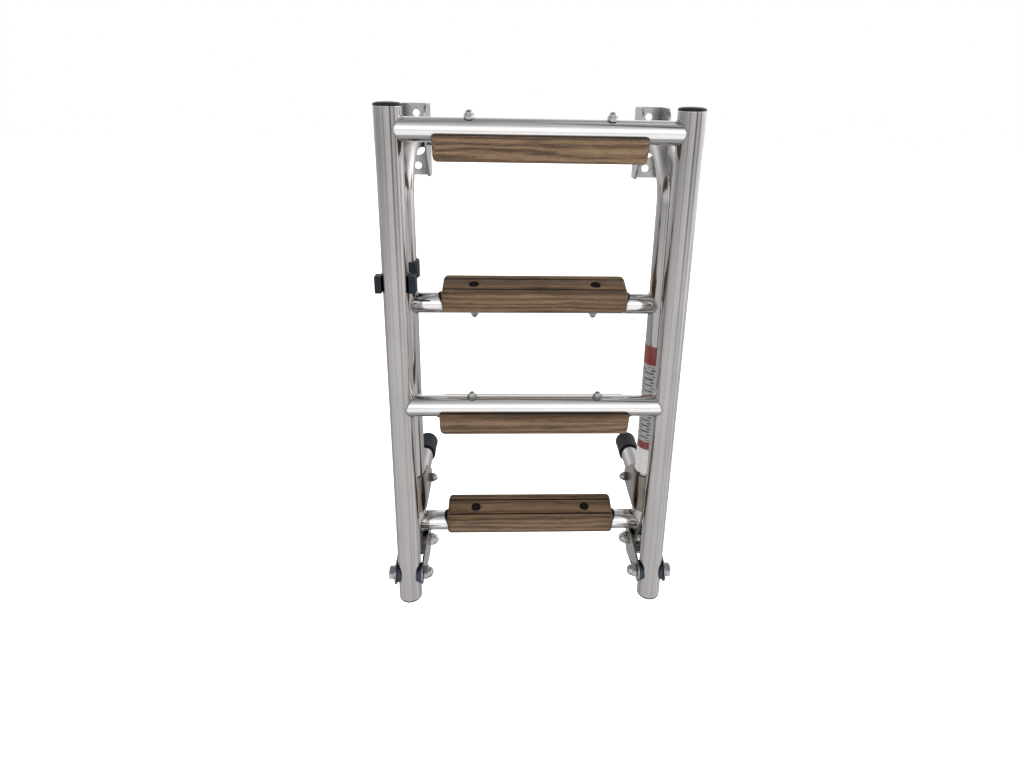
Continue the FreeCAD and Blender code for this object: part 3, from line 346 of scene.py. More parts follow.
def make_materials():
    low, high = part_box("rail_label")
    made = {
        "rail": steel("steel_rail", 0.49, 0.11, 0.03, anisotropic=0.6, tint=(1.0, 0.965, 0.955), streaks=0.09),
        "rung": steel("steel_rung", 0.88, 0.05, 0.02, anisotropic=0.3),
        "sheet": pressed_steel("steel_sheet", 0.85),
        "link": pressed_steel("steel_link", 0.55, 0.05),
        "saddle": pressed_steel("steel_saddle", 0.36, 0.12),
        "fastener": steel("steel_fastener", 0.52, 0.08, 0.05, smudge=0.12, tint=(0.99, 0.99, 1.0)),
        "weld": steel("steel_weld", 0.50, 0.24, 0.10, smudge=0.18),
        "recess": moulded("recess_shadow", (0.012, 0.010, 0.009), 0.6, 900.0, 0.10),
        "plastic": moulded("black_plastic", (0.005, 0.008, 0.013), 0.36, 900.0, 0.10),
        "rubber": moulded("black_rubber", (0.0045, 0.007, 0.011), 0.50, 700.0, 0.20),
        "nylon": moulded("dark_nylon", (0.020, 0.026, 0.040), 0.40, 900.0, 0.08),
        "label": sticker("label_film", low.z, high.z),
    }
    for count, shift in enumerate(((0.013, 0.031, 0.046), (0.22, 0.052, 0.039), (0.41, -0.043, 0.051),
                                   (0.63, 0.022, -0.056)), start=1):
        made[f"teak_{count}"] = teak(f"teak_{count}", shift)
    return made


# ----------------------------------------------------------
# Mesh helpers
# ----------------------------------------------------------
def set_look(mesh, material, sharp):
    """Smooth shading up to an angle of sharp degrees, and one material."""
    mesh.shade_smooth()
    mesh.set_sharp_from_angle(angle=math.radians(sharp))
    mesh.materials.clear()
    mesh.materials.append(material)
    return mesh


def finish_mesh(name, vertices, faces, material, sharp=35.0):
    mesh = bpy.data.meshes.new(name)
    mesh.from_pydata([tuple(v) for v in vertices], [], faces)
    mesh.validate()
    made = bmesh.new()
    made.from_mesh(mesh)
    bmesh.ops.remove_doubles(made, verts=made.verts, dist=1e-7)
    bmesh.ops.recalc_face_normals(made, faces=made.faces)
    made.to_mesh(mesh)
    made.free()
    return set_look(mesh, material, sharp)


def circle_points(radius, height, place, sides):
    return [place @ Vector((radius * math.cos(2 * math.pi * i / sides),
                            radius * math.sin(2 * math.pi * i / sides), height)) for i in range(sides)]


def grid_faces(rows, sides):
    """Faces that join rows of vertices, each row a closed ring."""
    return [(row * sides + i, row * sides + j, (row + 1) * sides + j, (row + 1) * sides + i)
            for row in range(rows - 1) for i, j in ((i, (i + 1) % sides) for i in range(sides))]


def add_around_uv(mesh, sides, length):
    """UV map whose U runs once round the rings and whose V runs along them."""
    uv = mesh.uv_layers.new(name="around")
    for face in mesh.polygons:
        columns = [mesh.loops[k].vertex_index % sides for k in face.loop_indices]
        wraps = max(columns) - min(columns) > sides / 2
        for k, column in zip(face.loop_indices, columns):
            u = (column + sides if wraps and column < sides / 2 else column) / sides
            uv.data[k].uv = (u, mesh.loops[k].vertex_index // sides / length)


def add_piece(name, mesh, body, slot, *replaced, place=None):
    item = bpy.data.objects.new(name, mesh)
    bpy.context.scene.collection.objects.link(item)
    if place is not None:
        item.matrix_world = place
    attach(item, body)
    if replaced:
        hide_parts(*replaced)
    return item


def soften(item, width, segments=2, angle=38.0):
    """Rounded edges, as a last modifier."""
    bevel = item.modifiers.new("soft_edges", "BEVEL")
    bevel.width = width
    bevel.segments = segments
    bevel.limit_method = "ANGLE"
    bevel.angle_limit = math.radians(angle)
    bevel.harden_normals = True
    return item


class Shell:
    """Collects several lofted or turned forms into one mesh."""

    def __init__(self):
        self.vertices = []
        self.faces = []

    def loft(self, rings, closed=False, cap_ends=True):
        """Join rings of equal length. closed also joins the last ring to the first."""
        first = len(self.vertices)
        count = len(rings[0])
        for ring in rings:
            self.vertices.extend(ring)
        total = len(rings)
        for row in range(total if closed else total - 1):
            following = (row + 1) % total
            for i in range(count):
                j = (i + 1) % count
                self.faces.append((first + row * count + i, first + row * count + j,
                                   first + following * count + j, first + following * count + i))
        if cap_ends and not closed:
            self.faces.append(tuple(first + i for i in range(count))[::-1])
            self.faces.append(tuple(first + (total - 1) * count + i for i in range(count)))

    def turned(self, profile, place, sides=NUT_SIDES, closed=False):
        """Turn a profile of (radius, height) pairs about the Z axis of place."""
        self.loft([circle_points(radius, height, place, sides) for radius, height in profile], closed=closed)

    def mesh(self, name, material, sharp=35.0):
        return finish_mesh(name, self.vertices, self.faces, material, sharp)


def hex_radius(angle, apothem):
    turned = angle % (math.pi / 3) - math.pi / 6
    return apothem / math.cos(turned)


def hexagon_rings(apothem, bottom, top, place, chamfer_bottom=True):
    """Rings of a chamfered hexagon from bottom to top."""
    def ring(radius_of, height_of):
        points = []
        for i in range(NUT_SIDES):
            angle = 2 * math.pi * i / NUT_SIDES
            radius = radius_of(angle)
            points.append(place @ Vector((radius * math.cos(angle), radius * math.sin(angle), height_of(angle))))
        return points

    face_radius, chamfer_slope = apothem * 0.985, 0.58

    def drop(angle):
        return (hex_radius(angle, apothem) - face_radius) * chamfer_slope

    rings = []
    if chamfer_bottom:
        rings.append(ring(lambda a: face_radius, lambda a: bottom))
        rings.append(ring(lambda a: hex_radius(a, apothem), lambda a: bottom + drop(a)))
    else:
        rings.append(ring(lambda a: hex_radius(a, apothem), lambda a: bottom))
    rings.append(ring(lambda a: hex_radius(a, apothem), lambda a: top - drop(a)))
    rings.append(ring(lambda a: face_radius, lambda a: top))
    return rings


def circle_ring(radius, height, place):
    return circle_points(radius, height, place, NUT_SIDES)


def add_acorn(shell, place, across, height):
    """Domed nut standing on the XY plane of place: a chamfered hexagon, a short neck and the dome."""
    apothem = across / 2
    dome = across * 0.435
    hex_top = height * 0.48
    rings = hexagon_rings(apothem, 0.0, hex_top, place)
    rings.append(circle_ring(dome * 1.03, hex_top + 0.02 * MM, place))
    shoulder = height - dome * 0.92
    lowest_shoulder = hex_top + 0.30 * MM
    if shoulder > lowest_shoulder:
        rings.append(circle_ring(dome, hex_top + 0.35 * MM, place))
    else:
        shoulder = lowest_shoulder
    rings.append(circle_ring(dome, shoulder, place))
    for step in range(1, 9):
        angle = math.pi / 2 * step / 8.5
        rings.append(circle_ring(dome * math.cos(angle), shoulder + (height - shoulder) * math.sin(angle), place))
    shell.loft(rings)


def add_hex_head(shell, place, across, height, shank_radius, shank_length):
    """Hexagon head standing on the XY plane of place, its shank pointing down."""
    collar, dish_rim, dish = across * 0.47, across * 0.40, across * 0.37
    rings = [circle_ring(shank_radius, -shank_length, place), circle_ring(shank_radius, 0.0, place)]
    rings.append(circle_ring(collar, 0.0, place))
    rings.append(circle_ring(collar, 0.35 * MM, place))
    rings.extend(hexagon_rings(across / 2, 0.36 * MM, height, place, chamfer_bottom=False))
    rings.append(circle_ring(dish_rim, height, place))
    rings.append(circle_ring(dish, height - 0.25 * MM, place))
    shell.loft(rings)


def rounded_ring_profile(inner, outer, low, high, edge):
    """Closed profile of a washer with softened edges."""
    return [(inner, low), (outer - edge, low), (outer, low + edge), (outer, high - edge),
            (outer - edge, high), (inner, high)]


def axis_x(x, y, z, sign):
    """Frame whose Z axis points along X, outwards for a positive sign."""
    turn = Matrix.Rotation(math.radians(90.0 * sign), 4, "Y")
    return Matrix.Translation((x, y, z)) @ turn


# ----------------------------------------------------------
# Tubes
# ----------------------------------------------------------
def tube_mesh(name, path, radius, material):
    """Hollow tube along a path in one plane of constant X, its end edges rounded."""
    directions = []
    for i, point in enumerate(path):
        before = path[max(i - 1, 0)]
        after = path[min(i + 1, len(path) - 1)]
        directions.append((after - before).normalized())
    side = Vector((1, 0, 0))

    def ring(point, direction, ring_radius):
        other = direction.cross(side).normalized()
        return [point + side * (ring_radius * math.cos(2 * math.pi * i / TUBE_SIDES))
                + other * (ring_radius * math.sin(2 * math.pi * i / TUBE_SIDES)) for i in range(TUBE_SIDES)]

    lip = 0.35 * MM
    bore = radius - WALL
    start, end = directions[0], directions[-1]
    layers = [ring(path[0] + start * lip * 2, start, bore)]
    layers.append(ring(path[0], start, bore + lip * 0.5))
    layers.append(ring(path[0], start, radius - lip))
    layers.append(ring(path[0] + start * lip, start, radius))
    layers.append(ring(path[0] + start * lip * 3, start, radius))
    for point, direction in zip(path[1:-1], directions[1:-1]):
        layers.append(ring(point, direction, radius))
    layers.append(ring(path[-1] - end * lip * 3, end, radius))
    layers.append(ring(path[-1] - end * lip, end, radius))
    layers.append(ring(path[-1], end, radius - lip))
    layers.append(ring(path[-1], end, bore + lip * 0.5))
    for point, direction in zip(reversed(path), reversed(directions)):
        layers.append(ring(point, direction, bore))
    mesh = bpy.data.meshes.new(name)
    mesh.from_pydata([tuple(v) for layer in layers for v in layer], [], grid_faces(len(layers), TUBE_SIDES))
    add_around_uv(mesh, TUBE_SIDES, len(layers))
    return set_look(mesh, material, 50.0)


def make_rails(materials):
    for side, sign in SIDES:
        low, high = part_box(f"lower_rail_{side}")
        x = GAUGE * sign
        path = [Vector((x, LOWER_Y, low.z + (high.z - low.z) * i / 24)) for i in range(25)]
        add_piece(f"lower_rail_tube_{side}", tube_mesh("lower_rail", path, RAIL_R, materials["rail"]),
                  "lower_frame", "stainless_tube", f"lower_rail_{side}")

        low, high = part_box(f"upper_rail_{side}")
        bend = 60.0 * MM
        top_z = high.z - RAIL_R
        bend_y, bend_z = UPPER_Y + bend, top_z - bend
        path = [Vector((x, UPPER_Y, low.z + (bend_z - low.z) * i / 18)) for i in range(18)]
        for i in range(33):
            angle = math.pi - math.pi / 2 * i / 32
            path.append(Vector((x, bend_y + bend * math.cos(angle), bend_z + bend * math.sin(angle))))
        path.append(Vector((x, (bend_y + high.y) / 2, top_z)))
        path.append(Vector((x, high.y, top_z)))
        add_piece(f"upper_rail_tube_{side}", tube_mesh("upper_rail", path, RAIL_R, materials["rail"]),
                  "upper_frame", "stainless_tube", f"upper_rail_{side}")


def make_rung_mesh(name, y, z, material):
    """Tube between the rails, coped to their surfaces."""
    columns = 24
    vertices = []
    for row in range(columns + 1):
        share = row / columns
        for i in range(TUBE_SIDES):
            angle = 2 * math.pi * i / TUBE_SIDES
            dy, dz = RUNG_R * math.cos(angle), RUNG_R * math.sin(angle)
            end = GAUGE - math.sqrt(RAIL_R ** 2 - dy ** 2) + HAIR
            vertices.append((-end + 2 * end * share, y + dy, z + dz))
    mesh = bpy.data.meshes.new(name)
    mesh.from_pydata(vertices, [], grid_faces(columns + 1, TUBE_SIDES))
    add_around_uv(mesh, TUBE_SIDES, columns)
    made = bmesh.new()
    made.from_mesh(mesh)
    bmesh.ops.recalc_face_normals(made, faces=made.faces)
    made.to_mesh(mesh)
    made.free()
    mesh.shade_smooth()
    mesh.materials.append(material)
    return mesh


def make_welds(name, y, z, frame_name, material):
    """Rippled bead round both ends of a rung."""
    def seam(angle, sign):
        dy, dz = RUNG_R * math.cos(angle), RUNG_R * math.sin(angle)
        return Vector((sign * (GAUGE - math.sqrt(RAIL_R ** 2 - dy ** 2)), y + dy, z + dz))

    shell = Shell()
    steps, sides, bead_radius = 168, 10, 0.75 * MM
    for _, sign in SIDES:
        rings = []
        for i in range(steps):
            angle = 2 * math.pi * i / steps
            point = seam(angle, sign)
            along = (seam(angle + 0.01, sign) - seam(angle - 0.01, sign)).normalized()
            outward = Vector((0, math.cos(angle), math.sin(angle)))
            inboard = along.cross(outward).normalized()
            ripple = 1.0 + 0.12 * math.sin(angle * 44) + 0.10 * noise.noise(point * 400.0)
            radius = bead_radius * ripple
            rings.append([point + outward * (radius * math.cos(2 * math.pi * k / sides))
                          + inboard * (radius * math.sin(2 * math.pi * k / sides)) for k in range(sides)])
        shell.loft(rings, closed=True)
    add_piece(name, shell.mesh(name, material, 180.0), BODY_OF[frame_name], "stainless_tube")


# ----------------------------------------------------------
# Treads, liners, their screws and nuts
# ----------------------------------------------------------
def tread_place(y, z, turn):
    return Matrix.Translation((0, y, z)) @ Matrix.Rotation(TREAD_TILT + turn, 4, "X")


def tread_profile():
    """Cross-section in (y, z): underside with its half-round seat, rounded corners and two grooves."""
    half = TREAD_DEPTH / 2
    bottom, top = TREAD_SEAT, TREAD_SEAT + TREAD_THICK
    edge, under = 4.0 * MM, 2.0 * MM
    seat = RUNG_R + LINER
    points = []

    def corner(cy, cz, start, radius=edge, steps=8):
        for i in range(steps + 1):
            angle = math.radians(start + 90.0 * i / steps)
            points.append((cy + radius * math.cos(angle), cz + radius * math.sin(angle)))

    def groove(centre):
        width, deep, round_off = 0.9 * MM, TREAD_GROOVE, 0.45 * MM
        right, left = centre + width, centre - width
        points.extend([(right + round_off, top), (right + round_off * 0.35, top - round_off * 0.25),
                       (right, top - round_off), (right, top - deep), (left, top - deep), (left, top - round_off),
                       (left - round_off * 0.35, top - round_off * 0.25), (left - round_off, top)])

    corner(half - edge, top - edge, 0)
    groove(GROOVE_Y)
    points.append((0.0, top))
    groove(-GROOVE_Y)
    corner(-half + edge, top - edge, 90)
    corner(-half + under, bottom + under, 180, under)
    start = math.asin(bottom / seat)
    arc = 20
    for i in range(arc + 1):
        angle = math.pi - start - (math.pi - 2 * start) * i / arc
        points.append((seat * math.cos(angle), seat * math.sin(angle)))
    corner(half - under, bottom + under, 270, under)
    return points


def make_tread_mesh(name, material, shadow):
    """Board lofted along X, its ends rounded in plan and along their edges.

    The faces inside the grooves and screw holes take the shadow material.
    """
    profile = tread_profile()
    half_length, half_depth = TREAD_LENGTH / 2, TREAD_DEPTH / 2
    bottom, top = TREAD_SEAT, TREAD_SEAT + TREAD_THICK
    middle_z = (bottom + top) / 2
    plan, over, under = 5.0 * MM, 4.4 * MM, 2.2 * MM
    distances = [plan * (1 - math.cos(math.pi / 2 * i / 9)) for i in range(10)]
    stations = [-half_length + d for d in distances]
    stations += [-half_length + plan + (TREAD_LENGTH - 2 * plan) * i / 12 for i in range(1, 12)]
    stations += [half_length - d for d in reversed(distances)]

    def inset(depth, radius):
        return radius - math.sqrt(max(radius ** 2 - (radius - min(depth, radius)) ** 2, 0.0))

    rings = []
    for x in stations:
        depth = half_length - abs(x)
        narrow = (half_depth - inset(depth, plan) * 0.92) / half_depth
        low = bottom + inset(depth, under) * 0.9
        high = top - inset(depth, over) * 0.9
        ring = []
        for py, pz in profile:
            in_seat = py * py + pz * pz < (RUNG_R + LINER + 0.2 * MM) ** 2
            if in_seat:
                ring.append(Vector((x, py, pz)))
                continue
            if pz > middle_z:
                squeezed = middle_z + (pz - middle_z) * (high - middle_z) / (top - middle_z)
            else:
                squeezed = middle_z - (middle_z - pz) * (middle_z - low) / (middle_z - bottom)
            ring.append(Vector((x, py * narrow, squeezed)))
        rings.append(ring)
    shell = Shell()
    shell.loft(rings)
    mesh = shell.mesh(name, material, 32.0)
    mesh = drill_recesses(mesh, name, material)
    mesh.materials.append(shadow)
    for face in mesh.polygons:
        centre, normal = face.center, face.normal
        if top - TREAD_GROOVE * 1.1 < centre.z < top - TREAD_GROOVE * 0.15 and abs(normal.x) < 0.3:
            if abs(abs(centre.y) - GROOVE_Y) < 1.1 * MM:
                face.material_index = 1
        near = min(math.hypot(centre.x - SCREW_X * sign, centre.y) for sign in (-1, 1))
        if near < 5.6 * MM and TREAD_SEAT + 2 * MM < centre.z < top - 1.2 * MM:
            face.material_index = 1
    return mesh


def drill_recesses(mesh, name, material):
    """Cut the two stepped screw holes, then drop the cutters."""
    board = bpy.data.objects.new(name + "_board", mesh)
    bpy.context.scene.collection.objects.link(board)
    cutters = Shell()
    top = TREAD_SEAT + TREAD_THICK
    hole, recess, rim, recess_deep = 2.6 * MM, 5.4 * MM, 5.9 * MM, 6.0 * MM
    for sign in (-1, 1):
        place = Matrix.Translation((SCREW_X * sign, 0, 0))
        cutters.turned([(hole, -20 * MM), (hole, top - recess_deep), (recess, top - recess_deep),
                        (recess, top - 0.5 * MM), (rim, top + 0.02 * MM), (rim, top + 5 * MM)], place, 40)
    cutter = bpy.data.objects.new(name + "_cutter", cutters.mesh(name + "_cutter", material))
    bpy.context.scene.collection.objects.link(cutter)
    cut = board.modifiers.new("holes", "BOOLEAN")
    cut.object = cutter
    cut.solver = "EXACT"
    bpy.context.view_layer.update()
    result = bpy.data.meshes.new_from_object(board.evaluated_get(bpy.context.evaluated_depsgraph_get()))
    bpy.data.objects.remove(board)
    bpy.data.objects.remove(cutter)
    result.name = name
    return set_look(result, material, 32.0)


def make_liner_mesh(name, material, reach):
    """Half-round strip whose ends bow out past the wood by up to reach, slightly ragged."""
    half = TREAD_LENGTH / 2 - 1.5 * MM
    outer, inner = RUNG_R + LINER - HAIR, RUNG_R + HAIR
    start = math.asin(TREAD_SEAT / outer)
    arc = 28
    rings = []
    for row in range(33):
        share = row / 16 - 1
        swell = 0.2 * MM * noise.noise(Vector((row * 1.7, 3.1, 0)))
        edge = []
        for i in range(arc + 1):
            angle = start + (math.pi - 2 * start) * i / arc
            length = half + reach * math.sin(angle) ** 1.5
            edge.append((share * length + swell, math.cos(angle), math.sin(angle)))
        rings.append([Vector((x, outer * c, outer * d)) for x, c, d in edge]
                     + [Vector((x, inner * c, inner * d)) for x, c, d in reversed(edge)])
    shell = Shell()
    shell.loft(rings)
    return shell.mesh(name, material, SHARP_TURNED)


def make_steps(materials):
    """Rungs, treads and what holds them. The liner of step 4 stays within the length of its wood."""
    liner_mesh = make_liner_mesh("tread_liner", materials["rubber"], 6.2 * MM)
    hidden_liner_mesh = make_liner_mesh("short_liner", materials["rubber"], 1.0 * MM)
    nuts = {"upper": Shell(), "lower": Shell()}
    liners = {"upper": [], "lower": []}
    for frame_name, number, y, z, turn in STEPS:
        body = BODY_OF[frame_name]
        node = f"{frame_name}_rung_{number}"
        add_piece(f"{node}_tube", make_rung_mesh(node, y, z, materials["rung"]), body, "stainless_tube", node)
        make_welds(f"{frame_name}_welds_{number}", y, z, frame_name, materials["weld"])
        place = tread_place(y, z, turn)
        node = f"{frame_name}_tread_{number}"
        board = make_tread_mesh(node, materials[f"teak_{number}"], materials["recess"])
        add_piece(f"{node}_board", board, body, "teak", node, place=place)
        strip = hidden_liner_mesh if number == 4 else liner_mesh
        liners[frame_name].append(add_piece(f"{frame_name}_liner_{number}", strip, body, "black_rubber", place=place))
        for sign in (-1, 1):
            spot = place @ Matrix.Translation((SCREW_X * sign, 0, -RUNG_R)) @ Matrix.Rotation(math.pi, 4, "X")
            add_acorn(nuts[frame_name], spot, *TREAD_NUT)
    for frame_name, shell in nuts.items():
        add_piece(f"{frame_name}_tread_acorns", shell.mesh(f"{frame_name}_acorns", materials["fastener"], SHARP_NUT),
                  BODY_OF[frame_name], "stainless_fastener", f"{frame_name}_tread_nuts")
        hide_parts(f"{frame_name}_tread_liners")


# ----------------------------------------------------------
# Sheet parts, clip and label: the CAD shape with softened edges
# ----------------------------------------------------------
def refined_copy(node, name, body, slot, material, width, angle=38.0):
    """A copy of a CAD node whose edges are rounded to width."""
    mesh = frame["nodes"][node].data.copy()
    made = bmesh.new()
    made.from_mesh(mesh)
    bmesh.ops.remove_doubles(made, verts=made.verts, dist=2e-6)
    bmesh.ops.dissolve_limit(made, angle_limit=math.radians(1.0), verts=made.verts, edges=made.edges)
    bmesh.ops.recalc_face_normals(made, faces=made.faces)
    made.to_mesh(mesh)
    made.free()
    mesh.name = name
    item = add_piece(name, set_look(mesh, material, angle), body, slot, node)
    return soften(item, width, 2, angle)


def make_sheet_parts(materials):
    for side, _ in SIDES:
        refined_copy(f"bracket_{side}", f"bracket_{side}_sheet", "mounting_brackets", "stainless_sheet",
                     materials["sheet"], 0.5 * MM)
        refined_copy(f"fold_link_{side}", f"fold_link_{side}_sheet", "fold_links", "stainless_sheet",
                     materials["link"], 0.4 * MM)
        refined_copy(f"leg_saddle_{side}", f"leg_saddle_{side}_sheet", "upper_frame", "stainless_sheet",
                     materials["saddle"], 0.35 * MM)
    refined_copy("retaining_clip", "retaining_clip_body", "upper_frame", "black_plastic", materials["plastic"],
                 0.7 * MM)
    refined_copy("rail_label", "rail_label_film", "upper_frame", "label", materials["label"], 0.04 * MM)


# ----------------------------------------------------------
# Caps and legs
# ----------------------------------------------------------
def make_rail_cap(side, x, material):
    """Domed cap on the top end of a lower rail."""
    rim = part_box(f"lower_rail_{side}")[1].z
    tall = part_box(f"lower_rail_cap_{side}")[1].z - rim
    flange, inside = 1.4 * MM, RAIL_R - WALL - 0.1 * MM
    profile = [(inside, -8 * MM), (inside, 0.02 * MM), (RAIL_R + HAIR, 0.02 * MM), (RAIL_R + 0.25 * MM, 0.4 * MM),
               (RAIL_R + 0.2 * MM, 1.3 * MM)]
    for i in range(1, 12):
        angle = math.pi / 2 * i / 11.3
        profile.append(((RAIL_R + 0.1 * MM) * math.cos(angle) ** 0.72, flange + (tall - flange) * math.sin(angle)))
    dome = Shell()
    dome.turned(profile, Matrix.Translation((x, LOWER_Y, rim)), CAP_SIDES)
    add_piece(f"lower_rail_cap_{side}_dome", dome.mesh("rail_cap", material, SHARP_TURNED), "lower_frame",
              "black_plastic", f"lower_rail_cap_{side}")


def make_rail_plug(frame_name, side, x, y, material):
    """Thin plug in the bottom end of a rail."""
    node = f"{frame_name}_rail_plug_{side}"
    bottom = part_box(f"{frame_name}_rail_{side}")[0].z
    inside = RAIL_R - WALL - 0.1 * MM
    plug = Shell()
    plug.turned([(inside, -7 * MM), (inside, 0.0), (RAIL_R - HAIR, 0.0), (RAIL_R, 0.3 * MM),
                 (RAIL_R - HAIR, 0.95 * MM), (RAIL_R - 0.5 * MM, 1.35 * MM), (RAIL_R - 1.5 * MM, 1.5 * MM)],
                Matrix.Translation((x, y, bottom)) @ Matrix.Rotation(math.pi, 4, "X"), CAP_SIDES)
    add_piece(f"{node}_disc", plug.mesh(node, material, SHARP_TURNED), BODY_OF[frame_name], "black_plastic", node)


def make_leg(side, x, materials):
    """Standoff leg and the rubber cup on its end."""
    leg_z = middle(f"standoff_leg_{side}").z
    low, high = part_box(f"standoff_leg_{side}")
    path = [Vector((x, low.y + (high.y - low.y) * i / 12, leg_z)) for i in range(13)]
    add_piece(f"standoff_leg_{side}_tube", tube_mesh("leg", path, RUNG_R, materials["rail"]),
              f"standoff_{side}", "stainless_tube", f"standoff_leg_{side}")

    low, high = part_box(f"standoff_cap_{side}")
    radius = (high.x - low.x) / 2
    length = high.y - low.y
    edge = 3.2 * MM
    profile = [(RUNG_R + HAIR, 2.0 * MM), (RUNG_R + HAIR, 0.3 * MM), (RUNG_R + 0.6 * MM, 0.0),
               (radius - 0.7 * MM, 0.0), (radius - 0.1 * MM, 0.6 * MM), (radius, 2.0 * MM),
               (radius - 0.25 * MM, 3.2 * MM), (radius - 0.3 * MM, length - 5 * MM),
               (radius - 0.1 * MM, length - 4 * MM)]
    for i in range(1, 9):
        angle = math.pi / 2 * i / 8
        profile.append((radius - edge * (1 - math.cos(angle)), length - edge + edge * math.sin(angle)))
    profile.append((radius * 0.5, length))
    cup = Shell()
    cup.turned(profile, Matrix.Translation((x, low.y, leg_z)) @ Matrix.Rotation(-math.pi / 2, 4, "X"), CAP_SIDES)
    add_piece(f"standoff_cap_{side}_cup", cup.mesh("leg_cap", materials["rubber"], SHARP_TURNED),
              f"standoff_{side}", "black_rubber", f"standoff_cap_{side}")


def make_caps_and_legs(materials):
    for side, sign in SIDES:
        x = GAUGE * sign
        make_rail_cap(side, x, materials["plastic"])
        make_rail_plug("lower", side, x, LOWER_Y, materials["plastic"])
        make_rail_plug("upper", side, x, UPPER_Y, materials["plastic"])
        make_leg(side, x, materials)


# ----------------------------------------------------------
# Hinge hardware
# ----------------------------------------------------------
def saddle_washer(shell, x, y, z, face_sign, tube_radius, outer_face, radius, bore, along, sides=64):
    """Washer flat against a cheek and hollowed to sit on a tube whose axis is the unit vector along."""
    across = Vector((0, -along.z, along.y))
    rings = []
    for inner in (bore, radius - 0.4 * MM, radius):
        ring = []
        for i in range(sides):
            angle = 2 * math.pi * i / sides
            offset = Vector((0, math.cos(angle), math.sin(angle))) * inner
            reach = abs(offset.dot(across))
            depth = math.sqrt(max(tube_radius ** 2 - reach ** 2, 0.0)) + 0.03 * MM
            ring.append(Vector((x + face_sign * depth, y + offset.y, z + offset.z)))
        rings.append(ring)
    for inner, back in ((radius, 0.4 * MM), (radius - 0.4 * MM, 0.0), (bore, 0.0)):
        ring = []
        for i in range(sides):
            angle = 2 * math.pi * i / sides
            ring.append(Vector((x + face_sign * (outer_face - back), y + inner * math.cos(angle),
                                z + inner * math.sin(angle))))
        rings.append(ring)
    shell.loft(rings, closed=True)


def add_hardware(prefix, kind, shell, body, materials):
    """One piece for all the fasteners or washers of a kind at a hinge."""
    mesh_name, node, look, sharp, slot = {
        "hex_bolts": ("bolts", "bolts", "fastener", SHARP_NUT, "stainless_fastener"),
        "acorns": ("acorns", "nuts", "fastener", SHARP_NUT, "stainless_fastener"),
        "plain_washers": ("washers", "steel_washers", "fastener", SHARP_TURNED, "stainless_fastener"),
        "dark_washers": ("nylon", "nylon_washers", "nylon", SHARP_TURNED, "black_nylon"),
    }[kind]
    add_piece(f"{prefix}_{kind}", shell.mesh(f"{prefix}_{mesh_name}", materials[look], sharp), body, slot,
              f"{prefix}_{node}")


def make_hinge_hardware(prefix, pivot, body, washer_body, cheek_half, tube_along, materials):
    bolts, nuts, steel_washers, nylon = Shell(), Shell(), Shell(), Shell()
    for _, sign in SIDES:
        x = GAUGE * sign
        outer = x + sign * (cheek_half + HINGE_WASHER)
        add_hex_head(bolts, axis_x(outer, pivot.y, pivot.z, sign), *HINGE_HEAD, HINGE_BOLT_R,
                     cheek_half * 2 + HINGE_WASHER + SHANK_IN_NUT)
        steel_washers.turned(rounded_ring_profile(HINGE_BOLT_R, 8.0 * MM, 0.0, HINGE_WASHER, 0.25 * MM),
                             axis_x(x + sign * cheek_half, pivot.y, pivot.z, sign), closed=True)
        add_acorn(nuts, axis_x(x - sign * cheek_half, pivot.y, pivot.z, -sign), *HINGE_NUT)
        for face_sign in (-1, 1):
            saddle_washer(nylon, x, pivot.y, pivot.z, face_sign, RAIL_R, CHEEK - WASHER_PLAY, 10.0 * MM,
                          HINGE_BOLT_R + HAIR, tube_along)
    add_hardware(prefix, "hex_bolts", bolts, body, materials)
    add_hardware(prefix, "acorns", nuts, body, materials)
    add_hardware(prefix, "plain_washers", steel_washers, body, materials)
    add_hardware(prefix, "dark_washers", nylon, washer_body, materials)


def make_leg_hardware(materials):
    bolts, nuts, nylon = Shell(), Shell(), Shell()
    ear_half = RAIL_R + SADDLE_SHEET
    washer_thick = 1.2 * MM
    for side, sign in SIDES:
        x = GAUGE * sign
        pivot = PIVOT[f"standoff_{side}_hinge"]
        add_hex_head(bolts, axis_x(x + sign * ear_half, pivot.y, pivot.z, sign), *LEG_HEAD, LEG_BOLT_R,
                     ear_half * 2 + SHANK_IN_NUT)
        add_acorn(nuts, axis_x(x - sign * ear_half, pivot.y, pivot.z, -sign), *LEG_NUT)
        for face_sign in (-1, 1):
            nylon.turned(rounded_ring_profile(LEG_BOLT_R, 8.0 * MM, 0.0, washer_thick, 0.2 * MM),
                         axis_x(x + face_sign * (RAIL_R - washer_thick), pivot.y, pivot.z, face_sign), closed=True)
    add_hardware("leg", "hex_bolts", bolts, "upper_frame", materials)
    add_hardware("leg", "acorns", nuts, "upper_frame", materials)
    add_hardware("leg", "dark_washers", nylon, "upper_frame", materials)


def make_stop_screws(materials):
    """Washer and domed nut standing on the web of each fold link."""
    for side, _ in SIDES:
        low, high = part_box(f"link_stop_screw_{side}")
        base = Matrix.Translation(((low.x + high.x) / 2, (low.y + high.y) / 2, low.z))
        shell = Shell()
        shell.turned([(6.2 * MM, 0.0), (6.2 * MM, 0.7 * MM), (5.9 * MM, STOP_WASHER), (3 * MM, STOP_WASHER)], base)
        add_acorn(shell, base @ Matrix.Translation((0, 0, STOP_WASHER)), STOP_NUT_ACROSS,
                  high.z - low.z - STOP_WASHER)
        add_piece(f"link_stop_{side}_acorn", shell.mesh("stop_acorn", materials["fastener"], SHARP_NUT),
                  "fold_links", "stainless_fastener", f"link_stop_screw_{side}")


